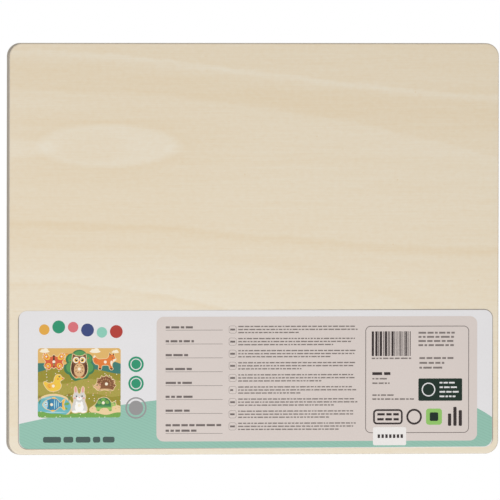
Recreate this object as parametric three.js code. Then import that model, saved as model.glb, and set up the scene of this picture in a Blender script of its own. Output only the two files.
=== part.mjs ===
// A wooden animal peg puzzle, lying face up: a backing board, a frame board with eight recesses,
// eight animals that lift out by their pegs, and two paper stickers underneath.
// Millimetres. +Z is up, +X is right and +Y is the top edge as seen from the front.
// The origin is under the middle of the board, on the surface that it lies on.
import * as THREE from 'three';

// Board
const BOARD_WIDTH = 300;
const BOARD_HEIGHT = 248;
const BOARD_CORNER_RADIUS = 8;
const BACKING_THICKNESS = 3;
const FRAME_THICKNESS = 7;

// Layout of the recesses: three animals in each side column, two in the middle one
const EDGE_WALL = 14;
const SIDE_CELL_WIDTH = 88;
const SIDE_CELL_HEIGHT = 66;
const MIDDLE_CELL_HEIGHT = 100;

// Animals, each drawn to its own width
const OWL_WIDTH = 64;
const RABBIT_WIDTH = 61;
const BUTTERFLY_WIDTH = 86;
const DUCK_WIDTH = 78;
const FISH_WIDTH = 84;
const FOX_WIDTH = 88;
const HEDGEHOG_WIDTH = 85;
const TURTLE_WIDTH = 86;
const RECESS_CLEARANCE = 0.8;

// Pegs
const PEG_HEIGHT = 9;
const PEG_HEAD_RADIUS = 5;
const PEG_HEAD_DOME = 3.8;
const PEG_FOOT_RADIUS = 4.2;
const PEG_WAIST_RADIUS = 2.4;
const PEG_STEM_RADIUS = 2.5;
const PEG_HOLE_CLEARANCE = 0.3;
const PEG_STEM_END_GAP = 0.4;

// Stickers on the back
const LABEL_HEIGHT = 83.4;
const LABEL_THICKNESS = 0.15;
const LABEL_CORNER_RADIUS = 5.5;
const LABEL_GAP_WIDE = 5.6;
const LABEL_GAP_NARROW = 3.4;
const LABEL_GAP_BOTTOM = 3.65;
const LABEL_TILT_DEGREES = -0.15;
const LOT_STICKER_WIDTH = 20.4;
const LOT_STICKER_HEIGHT = 11;
const LOT_STICKER_THICKNESS = 0.12;
const LOT_STICKER_CORNER_RADIUS = 1;
const LOT_STICKER_GAP_SIDE = 53.3;
const LOT_STICKER_GAP_BOTTOM = 1.6;

// Fineness of the round stretches
const OUTLINE_STEPS = 4;
const CORNER_STEPS = 6;
const PEG_SIDES = 16;
const PEG_CURVE_STEPS = 4;

// Heights of the layers above the surface underneath
const LABEL_Z = LOT_STICKER_THICKNESS;
const BACKING_Z = LABEL_Z + LABEL_THICKNESS;
const RECESS_FLOOR_Z = BACKING_Z + BACKING_THICKNESS;

// The label reaches from one gap at the board's sides to the other
const LABEL_WIDTH = BOARD_WIDTH - LABEL_GAP_WIDE - LABEL_GAP_NARROW;

// Centres of the cells
const SIDE_X = BOARD_WIDTH / 2 - EDGE_WALL - SIDE_CELL_WIDTH / 2;
const SIDE_Y = BOARD_HEIGHT / 2 - EDGE_WALL - SIDE_CELL_HEIGHT / 2;
const MIDDLE_Y = BOARD_HEIGHT / 2 - EDGE_WALL - MIDDLE_CELL_HEIGHT / 2;

// Each outline is a smooth closed curve through points in drawing units, scaled to the animal's width.
// A mirrored outline gives its right half from top to bottom, with both ends on the middle line.
const ANIMALS = [
  {
    name: 'owl', width: OWL_WIDTH, at: [0, MIDDLE_Y], peg: [0, -10], colour: 0x7d5236, mirrored: true,
    outline: [
      [0, 37], [11, 38.5], [22.5, 44], [26.5, 33], [27, 18], [31, 0], [30, -20], [22, -35], [11, -43],
      [0, -41],
    ],
  },
  {
    name: 'rabbit', width: RABBIT_WIDTH, at: [0, -MIDDLE_Y], peg: [0, -21], colour: 0xd9d5cf, mirrored: true,
    outline: [
      [0, 21], [4.5, 27], [7, 39], [13, 47.5], [19.5, 40], [19, 25], [24, 12], [21.5, -4], [26, -17],
      [30, -32], [27, -45], [14, -49.5], [0, -47],
    ],
  },
  {
    name: 'butterfly', width: BUTTERFLY_WIDTH, at: [-SIDE_X, SIDE_Y], peg: [0, -1], colour: 0xd8643f,
    mirrored: true,
    outline: [
      [0, 24], [5.5, 20], [11, 17.5], [22, 28], [35, 28], [40, 15], [32, 3], [29.5, -2], [34, -13],
      [27, -26], [15, -28], [6.5, -21], [0, -25],
    ],
  },
  {
    name: 'duck', width: DUCK_WIDTH, at: [-SIDE_X, 0], peg: [-2, -9], colour: 0xe9b93c,
    outline: [
      [37, 18], [30, 11], [23, 6], [27, -7], [21, -21], [5, -28], [-15, -27], [-28, -16], [-37, 3],
      [-30, 8], [-17, 2], [-3, 6], [1, 20], [10, 31], [23, 30], [29, 22],
    ],
  },
  {
    name: 'fish', width: FISH_WIDTH, at: [-SIDE_X, -SIDE_Y], peg: [-8, 0], colour: 0x3f86ad,
    outline: [
      [-42, 0], [-31, 15], [-14, 22], [0, 27], [13, 20], [24, 9], [35, 20], [42, 19], [37, 0],
      [42, -19], [35, -20], [24, -9], [11, -19], [-4, -26], [-15, -21], [-31, -15],
    ],
  },
  {
    name: 'fox', width: FOX_WIDTH, at: [SIDE_X, SIDE_Y], peg: [2, -3], colour: 0xe07b3a,
    outline: [
      [44, 6], [37, -1], [29, -8], [29, -20], [32, -28.5], [24.5, -33], [16.5, -28], [14, -18], [2, -15.5],
      [-9, -18], [-10.5, -28], [-17, -33], [-24.5, -28.5], [-24, -15], [-34, -12], [-42.5, -1], [-44, 13],
      [-37, 23], [-30, 15], [-20, 9.5], [-5, 10.5], [8, 12], [13.5, 20], [17, 33], [25.5, 25.5], [34, 32],
      [38, 16],
    ],
  },
  {
    name: 'hedgehog', width: HEDGEHOG_WIDTH, at: [SIDE_X, 0], peg: [6, -2], colour: 0x8b5b3e,
    outline: [
      [-40, -11], [-32, -3], [-27, 7], [-26, 18], [-16, 18], [-11, 27], [-2, 23], [6, 30], [14, 22], [24, 24],
      [26, 14], [36, 11], [34, 1], [40, -7], [34, -15], [30, -24], [16, -26], [0, -23], [-17, -26],
      [-27, -23], [-33, -17],
    ],
  },
  {
    name: 'turtle', width: TURTLE_WIDTH, at: [SIDE_X, -SIDE_Y], peg: [-4, 6], colour: 0x5c9a58,
    outline: [
      [43, 4], [36, 12], [27, 8], [22, 14], [11, 24], [-6, 27], [-23, 19], [-32, 3], [-42, -6], [-33, -11],
      [-30, -23], [-19, -26], [-11, -17], [0, -14], [11, -17], [17, -26], [28, -23], [30, -9], [42, -6],
    ],
  },
];

const PLYWOOD = { color: 0xe0d3bb, roughness: 0.65, metalness: 0 };
const PEG_WOOD = { color: 0xefe2c4, roughness: 0.5, metalness: 0 };
const LABEL_PAPER = { color: 0xe2e0e1, roughness: 0.4, metalness: 0 };
const LOT_PAPER = { color: 0xf2f2f0, roughness: 0.5, metalness: 0 };
const PAINTED_WOOD_ROUGHNESS = 0.5;

function namedMesh(name, geometry, material) {
  const mesh = new THREE.Mesh(geometry, new THREE.MeshStandardMaterial(material));
  mesh.name = name;
  return mesh;
}

function slab(shape, thickness) {
  const options = { depth: thickness, bevelEnabled: false, curveSegments: CORNER_STEPS };
  return new THREE.ExtrudeGeometry(shape, options);
}

function roundedRectangle(width, height, radius) {
  const x = width / 2;
  const y = height / 2;
  const shape = new THREE.Shape();
  shape.moveTo(radius - x, -y);
  shape.lineTo(x - radius, -y);
  shape.absarc(x - radius, radius - y, radius, -Math.PI / 2, 0);
  shape.lineTo(x, y - radius);
  shape.absarc(x - radius, y - radius, radius, 0, Math.PI / 2);
  shape.lineTo(radius - x, y);
  shape.absarc(radius - x, y - radius, radius, Math.PI / 2, Math.PI);
  shape.lineTo(-x, radius - y);
  shape.absarc(radius - x, radius - y, radius, Math.PI, 1.5 * Math.PI);
  return shape;
}

function fullOutline(animal) {
  if (!animal.mirrored) return animal.outline;
  const leftHalf = animal.outline.slice(1, -1).map(([x, y]) => [-x, y]);
  return [...animal.outline, ...leftHalf.reverse()];
}

// Samples the animal's smooth curve, and centres and scales it together with its peg's place.
function drawAnimal(animal) {
  const points = fullOutline(animal).map(([x, y]) => new THREE.Vector3(x, y, 0));
  const curve = new THREE.CatmullRomCurve3(points, true, 'centripetal');
  const drawn = curve.getPoints(points.length * OUTLINE_STEPS).slice(0, -1);
  const box = new THREE.Box3().setFromPoints(drawn);
  const middle = box.getCenter(new THREE.Vector3());
  const scale = animal.width / (box.max.x - box.min.x);
  const place = (x, y) => new THREE.Vector2((x - middle.x) * scale, (y - middle.y) * scale);
  return {
    outline: drawn.map((point) => place(point.x, point.y)),
    peg: place(...animal.peg),
  };
}

// Moves every point of a closed outline outward, square to the outline.
function grownOutline(outline, distance) {
  const outward = THREE.ShapeUtils.isClockWise(outline) ? -distance : distance;
  return outline.map((point, index) => {
    const before = outline.at(index - 1);
    const after = outline[(index + 1) % outline.length];
    const along = after.clone().sub(before).normalize();
    return new THREE.Vector2(point.x + along.y * outward, point.y - along.x * outward);
  });
}

// The corners stand half a step off the middle line, clear of the corners of a mirrored outline.
function circleAt(centre, radius) {
  const points = [];
  for (let side = 0; side < PEG_SIDES; side += 1) {
    const turn = (2 * Math.PI * (side + 0.5)) / PEG_SIDES;
    points.push(new THREE.Vector2(centre.x + radius * Math.cos(turn), centre.y + radius * Math.sin(turn)));
  }
  return new THREE.Path(points);
}

function backingBoard() {
  const outline = roundedRectangle(BOARD_WIDTH, BOARD_HEIGHT, BOARD_CORNER_RADIUS);
  const mesh = namedMesh('backing_board', slab(outline, BACKING_THICKNESS), PLYWOOD);
  mesh.position.z = BACKING_Z;
  return mesh;
}

function frameBoard(drawings) {
  const outline = roundedRectangle(BOARD_WIDTH, BOARD_HEIGHT, BOARD_CORNER_RADIUS);
  ANIMALS.forEach((animal, index) => {
    const centre = new THREE.Vector2(...animal.at);
    const recess = grownOutline(drawings[index].outline, RECESS_CLEARANCE).map((point) => point.add(centre));
    outline.holes.push(new THREE.Path(recess));
  });
  const mesh = namedMesh('frame_board', slab(outline, FRAME_THICKNESS), PLYWOOD);
  mesh.position.z = RECESS_FLOOR_Z;
  return mesh;
}

function animalPiece(animal, drawing) {
  const shape = new THREE.Shape(drawing.outline);
  shape.holes.push(circleAt(drawing.peg, PEG_STEM_RADIUS + PEG_HOLE_CLEARANCE));
  const finish = { color: animal.colour, roughness: PAINTED_WOOD_ROUGHNESS, metalness: 0 };
  return namedMesh(`${animal.name}_piece`, slab(shape, FRAME_THICKNESS), finish);
}

// A turned knob: a stem in the animal's hole, a foot on its face, a waist and a domed head.
function animalPeg(animal, drawing) {
  const headZ = PEG_HEIGHT - PEG_HEAD_DOME;
  const profile = new THREE.Path();
  profile.moveTo(0, PEG_STEM_END_GAP - FRAME_THICKNESS);
  profile.lineTo(PEG_STEM_RADIUS, PEG_STEM_END_GAP - FRAME_THICKNESS);
  profile.lineTo(PEG_STEM_RADIUS, 0);
  profile.lineTo(PEG_FOOT_RADIUS, 0);
  profile.quadraticCurveTo(PEG_WAIST_RADIUS, headZ / 2, PEG_HEAD_RADIUS, headZ);
  profile.absellipse(0, headZ, PEG_HEAD_RADIUS, PEG_HEAD_DOME, 0, Math.PI / 2);
  const points = profile.getPoints(PEG_CURVE_STEPS);
  points.at(-1).x = 0;
  const geometry = new THREE.LatheGeometry(points, PEG_SIDES);
  geometry.rotateX(Math.PI / 2);
  const mesh = namedMesh(`${animal.name}_peg`, geometry, PEG_WOOD);
  mesh.position.set(drawing.peg.x, drawing.peg.y, FRAME_THICKNESS);
  return mesh;
}

function productLabel() {
  const outline = roundedRectangle(LABEL_WIDTH, LABEL_HEIGHT, LABEL_CORNER_RADIUS);
  const mesh = namedMesh('product_label', slab(outline, LABEL_THICKNESS), LABEL_PAPER);
  mesh.rotation.z = THREE.MathUtils.degToRad(LABEL_TILT_DEGREES);
  return mesh;
}

function lotSticker() {
  const outline = roundedRectangle(LOT_STICKER_WIDTH, LOT_STICKER_HEIGHT, LOT_STICKER_CORNER_RADIUS);
  const mesh = namedMesh('lot_sticker', slab(outline, LOT_STICKER_THICKNESS), LOT_PAPER);
  mesh.position.x = LOT_STICKER_GAP_SIDE + LOT_STICKER_WIDTH / 2 - LABEL_WIDTH / 2;
  mesh.position.y = LOT_STICKER_GAP_BOTTOM + LOT_STICKER_HEIGHT / 2 - LABEL_HEIGHT / 2;
  mesh.position.z = -LOT_STICKER_THICKNESS;
  return mesh;
}

// The back is seen from below, so its right-hand side there is the board's -X side.
function stickersOnBack() {
  const stickers = new THREE.Group();
  stickers.add(productLabel(), lotSticker());
  stickers.position.x = (LABEL_GAP_NARROW - LABEL_GAP_WIDE) / 2;
  stickers.position.y = LABEL_GAP_BOTTOM + LABEL_HEIGHT / 2 - BOARD_HEIGHT / 2;
  stickers.position.z = LABEL_Z;
  return stickers;
}

function animalOnBoard(animal, drawing) {
  const group = new THREE.Group();
  group.add(animalPiece(animal, drawing), animalPeg(animal, drawing));
  group.position.set(...animal.at, RECESS_FLOOR_Z);
  return group;
}

const drawings = ANIMALS.map(drawAnimal);
const puzzle = new THREE.Group();
puzzle.add(backingBoard(), frameBoard(drawings), stickersOnBack());
ANIMALS.forEach((animal, index) => puzzle.add(animalOnBoard(animal, drawings[index])));

export default puzzle;
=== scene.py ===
"""Looks of a wooden animal puzzle: two plywood layers, eight printed animals on pegs, and a paper label."""

import math
import random
from typing import NamedTuple

import bmesh
import bpy
from mathutils import Matrix, Vector
from mathutils.geometry import tessellate_polygon


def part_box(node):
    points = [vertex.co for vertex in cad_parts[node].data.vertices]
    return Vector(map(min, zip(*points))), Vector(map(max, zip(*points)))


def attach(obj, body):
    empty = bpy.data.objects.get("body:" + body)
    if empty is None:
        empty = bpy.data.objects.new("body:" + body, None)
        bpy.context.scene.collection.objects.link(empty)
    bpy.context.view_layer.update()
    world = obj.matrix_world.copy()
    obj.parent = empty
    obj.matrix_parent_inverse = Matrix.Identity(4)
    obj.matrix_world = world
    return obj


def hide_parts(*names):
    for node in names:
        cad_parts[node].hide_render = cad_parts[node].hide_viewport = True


bl_info = {
    "name": "Wooden animal puzzle",
    "version": (1, 0, 0),
    "blender": (4, 5, 0),
    "location": "View3D > Sidebar > Puzzle",
    "description": "Dresses the packed puzzle board, its animals, pegs and label",
    "category": "Object",
}

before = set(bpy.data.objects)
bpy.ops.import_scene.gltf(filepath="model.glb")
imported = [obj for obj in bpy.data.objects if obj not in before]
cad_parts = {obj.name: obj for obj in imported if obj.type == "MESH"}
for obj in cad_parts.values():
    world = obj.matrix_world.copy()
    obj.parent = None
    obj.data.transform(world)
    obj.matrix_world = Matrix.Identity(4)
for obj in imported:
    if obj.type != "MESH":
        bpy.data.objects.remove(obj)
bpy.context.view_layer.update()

MM = 0.001
ANIMALS = ("owl", "rabbit", "butterfly", "duck", "fish", "fox", "hedgehog", "turtle")


FULL_LEVEL = 255
CURVE_START = 0.04045
LINEAR_SLOPE = 12.92
CURVE_OFFSET = 0.055
CURVE_POWER = 2.4


def linear(level):
    """One channel of a screen colour as the linear value that shaders take."""
    share = level / FULL_LEVEL
    if share <= CURVE_START:
        return share / LINEAR_SLOPE
    return ((share + CURVE_OFFSET) / (1 + CURVE_OFFSET)) ** CURVE_POWER


def display(*levels):
    """A screen colour from levels of red, green and blue up to 255."""
    return (*map(linear, levels), 1.0)


INKS = {
    "white": display(250, 248, 244),
    "cream": display(247, 236, 212),
    "sand": display(236, 208, 160),
    "dusk": display(224, 181, 108),
    "olive": display(154, 142, 56),
    "moss": display(172, 160, 78),
    "tan": display(221, 180, 132),
    "brown": display(138, 92, 62),
    "owl_brown": display(125, 82, 54),
    "dark_brown": display(88, 58, 42),
    "coal": display(50, 43, 42),
    "grey": display(216, 212, 206),
    "pink": display(232, 164, 152),
    "red": display(214, 100, 66),
    "orange": display(226, 126, 60),
    "amber": display(241, 190, 78),
    "yellow": display(240, 199, 76),
    "lime": display(160, 196, 104),
    "leaf": display(122, 170, 84),
    "green": display(92, 154, 90),
    "dark_green": display(66, 122, 84),
    "teal": display(68, 124, 114),
    "pond": display(112, 182, 190),
    "pale_blue": display(172, 214, 220),
    "blue": display(64, 132, 172),
}


class Oval(NamedTuple):
    """One printed spot, in shares of half the width of what it is printed on."""

    ink: str
    x: float
    y: float
    wide: float
    high: float
    turn: float = 0.0


def pair(ink, x, y, wide, high, turn=0.0):
    """A spot and its mirror image."""
    return [Oval(ink, x, y, wide, high, turn), Oval(ink, -x, y, wide, high, -turn)]


SPINES_MIDDLE = (0.08, -0.12)
SPINE_SIZE = (0.075, 0.02)


def ring_of_spines(ink, radius, first, last, count):
    """Short strokes that point away from the middle of the hedgehog's back."""
    strokes = []
    for index in range(count):
        angle = first + (last - first) * index / (count - 1)
        x = SPINES_MIDDLE[0] + radius * math.cos(math.radians(angle))
        y = SPINES_MIDDLE[1] + radius * math.sin(math.radians(angle))
        strokes.append(Oval(ink, x, y, *SPINE_SIZE, angle))
    return strokes


ANIMAL_PRINTS = {
    "owl": ("owl_brown", [
        *pair("dark_brown", 0.86, -0.25, 0.27, 0.74, -6),
        Oval("tan", 0, -0.44, 0.6, 0.78),
        *pair("cream", 0.37, 0.68, 0.35, 0.36),
        *pair("amber", 0.35, 0.67, 0.23, 0.23),
        *pair("coal", 0.33, 0.67, 0.14, 0.14),
        *pair("white", 0.28, 0.73, 0.045, 0.045),
        Oval("orange", 0, 0.44, 0.11, 0.19),
        *pair("brown", 0.2, 0.06, 0.1, 0.045, -20),
        *pair("brown", 0.36, -0.2, 0.1, 0.045, -20),
        *pair("brown", 0.36, -0.56, 0.1, 0.045, -20),
        *pair("brown", 0.15, -0.72, 0.1, 0.045, -20),
        *pair("orange", 0.32, -1.27, 0.2, 0.09),
    ]),
    "rabbit": ("grey", [
        *pair("pink", 0.43, 1.16, 0.12, 0.36, -5),
        Oval("white", 0, -0.88, 0.52, 0.56),
        *pair("white", 0.52, -1.42, 0.32, 0.15),
        Oval("white", 0, 0.14, 0.31, 0.21),
        *pair("pink", 0.53, 0.17, 0.12, 0.1),
        *pair("coal", 0.33, 0.42, 0.085, 0.11),
        *pair("white", 0.31, 0.46, 0.03, 0.03),
        Oval("pink", 0, 0.25, 0.1, 0.065),
        *pair("white", 0.3, -0.4, 0.13, 0.2, 12),
    ]),
    "butterfly": ("red", [
        *pair("amber", 0.6, 0.36, 0.3, 0.23, 28),
        *pair("orange", 0.62, 0.38, 0.19, 0.14, 28),
        *pair("cream", 0.64, 0.4, 0.08, 0.08),
        *pair("amber", 0.48, -0.36, 0.24, 0.2, -30),
        *pair("orange", 0.49, -0.37, 0.15, 0.12, -30),
        *pair("cream", 0.5, -0.38, 0.06, 0.06),
        *pair("cream", 0.86, 0.54, 0.045, 0.045),
        *pair("cream", 0.91, 0.36, 0.04, 0.04),
        *pair("cream", 0.7, 0.64, 0.04, 0.04),
        *pair("cream", 0.72, -0.5, 0.04, 0.04),
        *pair("cream", 0.58, -0.6, 0.035, 0.035),
        Oval("dark_brown", 0, -0.04, 0.085, 0.5),
        Oval("dark_brown", 0, 0.46, 0.11, 0.1),
        Oval("amber", 0, -0.26, 0.065, 0.022),
        Oval("amber", 0, -0.36, 0.055, 0.022),
    ]),
    "duck": ("yellow", [
        Oval("orange", 0.96, 0.41, 0.21, 0.14, 6),
        Oval("red", 0.96, 0.38, 0.13, 0.018, 6),
        Oval("coal", 0.5, 0.58, 0.065, 0.075),
        Oval("white", 0.52, 0.61, 0.022, 0.022),
        Oval("orange", 0.38, 0.36, 0.09, 0.065),
        Oval("amber", -0.26, -0.26, 0.46, 0.28, 10),
        Oval("orange", -0.48, -0.18, 0.15, 0.028, 20),
        Oval("orange", -0.44, -0.29, 0.15, 0.028, 16),
        Oval("orange", -0.38, -0.4, 0.14, 0.028, 12),
        Oval("amber", -0.86, 0.12, 0.1, 0.055, 35),
    ]),
    "fish": ("blue", [
        Oval("pale_blue", -0.9, 0, 0.38, 0.6),
        Oval("white", -0.68, 0.1, 0.1, 0.1),
        Oval("coal", -0.69, 0.1, 0.055, 0.06),
        Oval("pink", -0.6, -0.1, 0.06, 0.045),
        Oval("teal", -0.36, 0, 0.05, 0.42),
        Oval("pale_blue", 0.06, 0.02, 0.045, 0.44),
        Oval("pale_blue", 0.24, 0.02, 0.04, 0.36),
        Oval("pale_blue", 0.4, 0.01, 0.035, 0.24),
        Oval("amber", 0.02, 0.6, 0.26, 0.13, -6),
        Oval("amber", -0.1, -0.58, 0.22, 0.12, 6),
        Oval("amber", 0.98, 0, 0.27, 0.7),
        Oval("orange", 0.92, 0.2, 0.1, 0.02, 35),
        Oval("orange", 0.88, 0, 0.1, 0.02),
        Oval("orange", 0.92, -0.2, 0.1, 0.02, -35),
    ]),
    "fox": ("orange", [
        Oval("cream", 0.88, 0.07, 0.22, 0.13, 12),
        Oval("coal", 0.98, 0.15, 0.05, 0.045),
        Oval("coal", 0.66, 0.29, 0.042, 0.058),
        Oval("white", 0.67, 0.31, 0.015, 0.015),
        Oval("dark_brown", 0.42, 0.58, 0.05, 0.11, 8),
        Oval("dark_brown", 0.75, 0.57, 0.05, 0.1, -8),
        Oval("cream", 0.6, -0.2, 0.12, 0.25, 14),
        Oval("dark_brown", 0.55, -0.7, 0.22, 0.14),
        Oval("dark_brown", -0.4, -0.7, 0.22, 0.14),
        Oval("cream", -0.88, 0.44, 0.19, 0.15, 30),
        Oval("red", -0.78, 0.06, 0.12, 0.03, 55),
        Oval("red", -0.66, -0.02, 0.1, 0.03, 50),
    ]),
    "hedgehog": ("brown", [
        *ring_of_spines("dark_brown", 0.3, 5, 165, 6),
        *ring_of_spines("tan", 0.43, -10, 160, 8),
        *ring_of_spines("dark_brown", 0.56, -20, 158, 10),
        *ring_of_spines("tan", 0.7, -15, 148, 11),
        Oval("tan", -0.7, -0.32, 0.36, 0.3),
        Oval("tan", 0, -0.64, 0.74, 0.15),
        Oval("brown", -0.4, -0.12, 0.11, 0.11),
        Oval("pink", -0.4, -0.12, 0.065, 0.065),
        Oval("coal", -0.64, -0.18, 0.05, 0.058),
        Oval("white", -0.65, -0.16, 0.018, 0.018),
        Oval("coal", -0.97, -0.33, 0.07, 0.06),
        Oval("pink", -0.55, -0.38, 0.07, 0.055),
        Oval("dark_brown", -0.42, -0.67, 0.17, 0.07),
        Oval("dark_brown", 0.46, -0.67, 0.17, 0.07),
    ]),
    "turtle": ("lime", [
        Oval("dark_green", -0.12, -0.05, 0.66, 0.69),
        Oval("leaf", -0.12, 0.38, 0.2, 0.15),
        Oval("leaf", -0.45, 0.16, 0.17, 0.15, 30),
        Oval("leaf", 0.22, 0.18, 0.17, 0.14, -30),
        Oval("leaf", -0.12, 0.08, 0.17, 0.12),
        Oval("lime", -0.1, -0.52, 0.95, 0.34),
        Oval("green", -0.12, -0.18, 0.69, 0.085),
        Oval("coal", 0.81, 0.12, 0.045, 0.055),
        Oval("white", 0.82, 0.14, 0.016, 0.016),
        Oval("pink", 0.72, 0.01, 0.055, 0.045),
        Oval("leaf", -0.52, -0.5, 0.1, 0.06),
        Oval("leaf", 0.5, -0.5, 0.1, 0.06),
        Oval("leaf", -0.3, -0.42, 0.06, 0.04),
    ]),
}


class Hill(NamedTuple):
    """Ground below a wavy line, in shares of half the picture's width."""

    ink: str
    level: float
    height: float
    waves: float
    shift: float


class Strewn(NamedTuple):
    """Spots strewn over the ground last drawn, in shares of half the picture's width."""

    ink: str
    pitch_x: float
    pitch_y: float
    wide: float
    high: float
    kept: float


DOT_SWAY = 0.012
CLOUD_HEAPS = ((0.0, 0.0, 1.0, 0.26), (-0.36, 0.16, 0.4, 0.3), (0.24, 0.24, 0.48, 0.38))
TREE_HEAPS = (
    (0.0, 0.0, 0.28, 0.34), (0.0, 0.28, 0.18, 0.15), (0.18, 0.2, 0.15, 0.14),
    (-0.18, 0.2, 0.15, 0.14), (0.24, -0.02, 0.13, 0.14), (-0.24, -0.02, 0.13, 0.14),
)
REED_LEANS = (12, 3, -6, -15)
REED_GAP = 0.016
REED_SIZE = (0.0045, 0.07)
REED_HEADS = ((0.013, 0.075, 3), (0.041, 0.072, -6))
REED_HEAD_SIZE = (0.008, 0.024)
FLOWER_HEART = 0.42


def row_of_dots(ink, first, last, count, size):
    """Small spots along a line, for pebbles and berries."""
    dots = []
    for index in range(count):
        share = index / (count - 1)
        x = first[0] + (last[0] - first[0]) * share
        y = first[1] + (last[1] - first[1]) * share + DOT_SWAY * (-1) ** index
        dots.append(Oval(ink, x, y, size, size))
    return dots


def heaped(ink, heaps, x, y, size):
    """Round heaps of one ink, which make a cloud or the crown of a tree."""
    return [Oval(ink, x + size * across, y + size * up, size * wide, size * high)
            for across, up, wide, high in heaps]


def reeds(x, y):
    """A clump of leaning stalks with brown heads."""
    stalks = [Oval("dark_green", x + REED_GAP * index, y, *REED_SIZE, lean)
              for index, lean in enumerate(REED_LEANS)]
    heads = [Oval("brown", x + across, y + up, *REED_HEAD_SIZE, lean) for across, up, lean in REED_HEADS]
    return stalks + heads


def flowers(petals, pitch_x, pitch_y, size, kept):
    """Strewn flowers with an amber heart."""
    heart = FLOWER_HEART * size
    return [Strewn(petals, pitch_x, pitch_y, size, size, kept),
            Strewn("amber", pitch_x, pitch_y, heart, heart, kept)]


MEADOW_SKY = "dusk"
MEADOW = [
    *heaped("cream", CLOUD_HEAPS, -0.84, 0.75, 0.12),
    *heaped("cream", CLOUD_HEAPS, 0.38, 0.745, 0.13),
    *heaped("cream", CLOUD_HEAPS, 0.87, 0.73, 0.09),
    Oval("orange", -0.31, 0.6, 0.1, 0.1),
    Oval("amber", -0.31, 0.6, 0.08, 0.08),
    Hill("teal", 0.5, 0.07, 3.4, 0.6),
    Hill("olive", 0.3, 0.06, 2.6, 2.2),
    Strewn("leaf", 0.05, 0.08, 0.004, 0.015, 0.7),
    *flowers("white", 0.1, 0.085, 0.011, 0.35),
    *heaped("dark_green", TREE_HEAPS, 0.0, 0.36, 1.0),
    *heaped("green", TREE_HEAPS, 0.012, 0.385, 0.88),
    *row_of_dots("red", (-0.22, 0.52), (0.22, 0.6), 4, 0.013),
    Hill("moss", 0.04, 0.05, 3.1, 0.3),
    Strewn("olive", 0.048, 0.075, 0.004, 0.015, 0.75),
    *flowers("pink", 0.105, 0.09, 0.012, 0.4),
    Hill("olive", -0.28, 0.04, 4.2, 1.4),
    Strewn("leaf", 0.052, 0.078, 0.004, 0.015, 0.75),
    *flowers("white", 0.11, 0.08, 0.011, 0.45),
    Oval("sand", -0.62, -0.56, 0.46, 0.3),
    Oval("pond", -0.62, -0.57, 0.42, 0.26),
    Oval("pale_blue", -0.62, -0.7, 0.3, 0.012),
    Oval("pale_blue", -0.76, -0.36, 0.14, 0.01),
    Oval("leaf", -0.3, -0.5, 0.06, 0.032, 10),
    Oval("leaf", -0.33, -0.61, 0.05, 0.026, -8),
    *reeds(-0.98, -0.42),
    *reeds(-0.27, -0.36),
    Oval("sand", 0.66, -0.64, 0.42, 0.14),
    *row_of_dots("tan", (0.32, -0.62), (0.96, -0.6), 9, 0.014),
    Hill("leaf", -0.72, 0.03, 6.0, 0.9),
    Strewn("green", 0.05, 0.06, 0.0045, 0.014, 0.8),
    *flowers("white", 0.12, 0.07, 0.011, 0.5),
]


LENGTH_DIGITS = 6


def colour_setting(name, description, default):
    """A colour to change in the sidebar."""
    return bpy.props.FloatVectorProperty(
        name=name, description=description, subtype="COLOR", size=4, min=0, max=1, default=default)


def length_setting(name, description, default):
    """A length to change in the sidebar, in metres."""
    return bpy.props.FloatProperty(
        name=name, description=description, unit="LENGTH", precision=LENGTH_DIGITS, default=default)


def turn_setting(name, description, degrees):
    """An angle to change in the sidebar."""
    return bpy.props.FloatProperty(
        name=name, description=description, subtype="ANGLE", default=math.radians(degrees))


def share_setting(name, description, default):
    """A share from nought to one to change in the sidebar."""
    return bpy.props.FloatProperty(
        name=name, description=description, subtype="FACTOR", min=0, max=1, default=default)


def place_setting(name, description, default):
    """A place or a move to change in the sidebar, in metres."""
    return bpy.props.FloatVectorProperty(
        name=name, description=description, subtype="TRANSLATION", precision=LENGTH_DIGITS,
        size=len(default), default=default)


def power_setting(name, description, default):
    """A lamp's power to change in the sidebar, in watts."""
    return bpy.props.FloatProperty(name=name, description=description, unit="POWER", min=0, default=default)


class WoodSettings(bpy.types.PropertyGroup):
    """Colours and edges of the plywood."""

    light: colour_setting("Light wood", "Colour of the light grain", display(230, 221, 203))
    dark: colour_setting("Dark wood", "Colour of the dark grain", display(222, 204, 174))
    edge_light: colour_setting("Light ply", "Sawn edge of plies that run along it", display(220, 210, 195))
    edge_dark: colour_setting("Dark ply", "Sawn edge of plies that end in it", display(188, 175, 157))
    arris: length_setting("Arris", "Radius of the sanded outer arrises", 0.9 * MM)
    animal_arris: length_setting("Animal arris", "Radius of the animals' sanded arrises", 0.7 * MM)
    recess_arris: length_setting("Glued arris", "Radius of arrises in the glue line", 0.12 * MM)
    rim: length_setting("Bare rim", "Bare wood round an animal's print", 1.1 * MM)
    recess_fade: share_setting("Recess fade", "How pale the print under an animal is", 0.45)


class PegSettings(bpy.types.PropertyGroup):
    """Colours and fineness of the turned pegs."""

    light: colour_setting("Light wood", "Colour of the light grain", display(244, 232, 206))
    dark: colour_setting("Dark wood", "Colour of the dark grain", display(226, 206, 170))
    sides: bpy.props.IntProperty(name="Sides", description="Facets round a peg", min=12, default=40)


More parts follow.
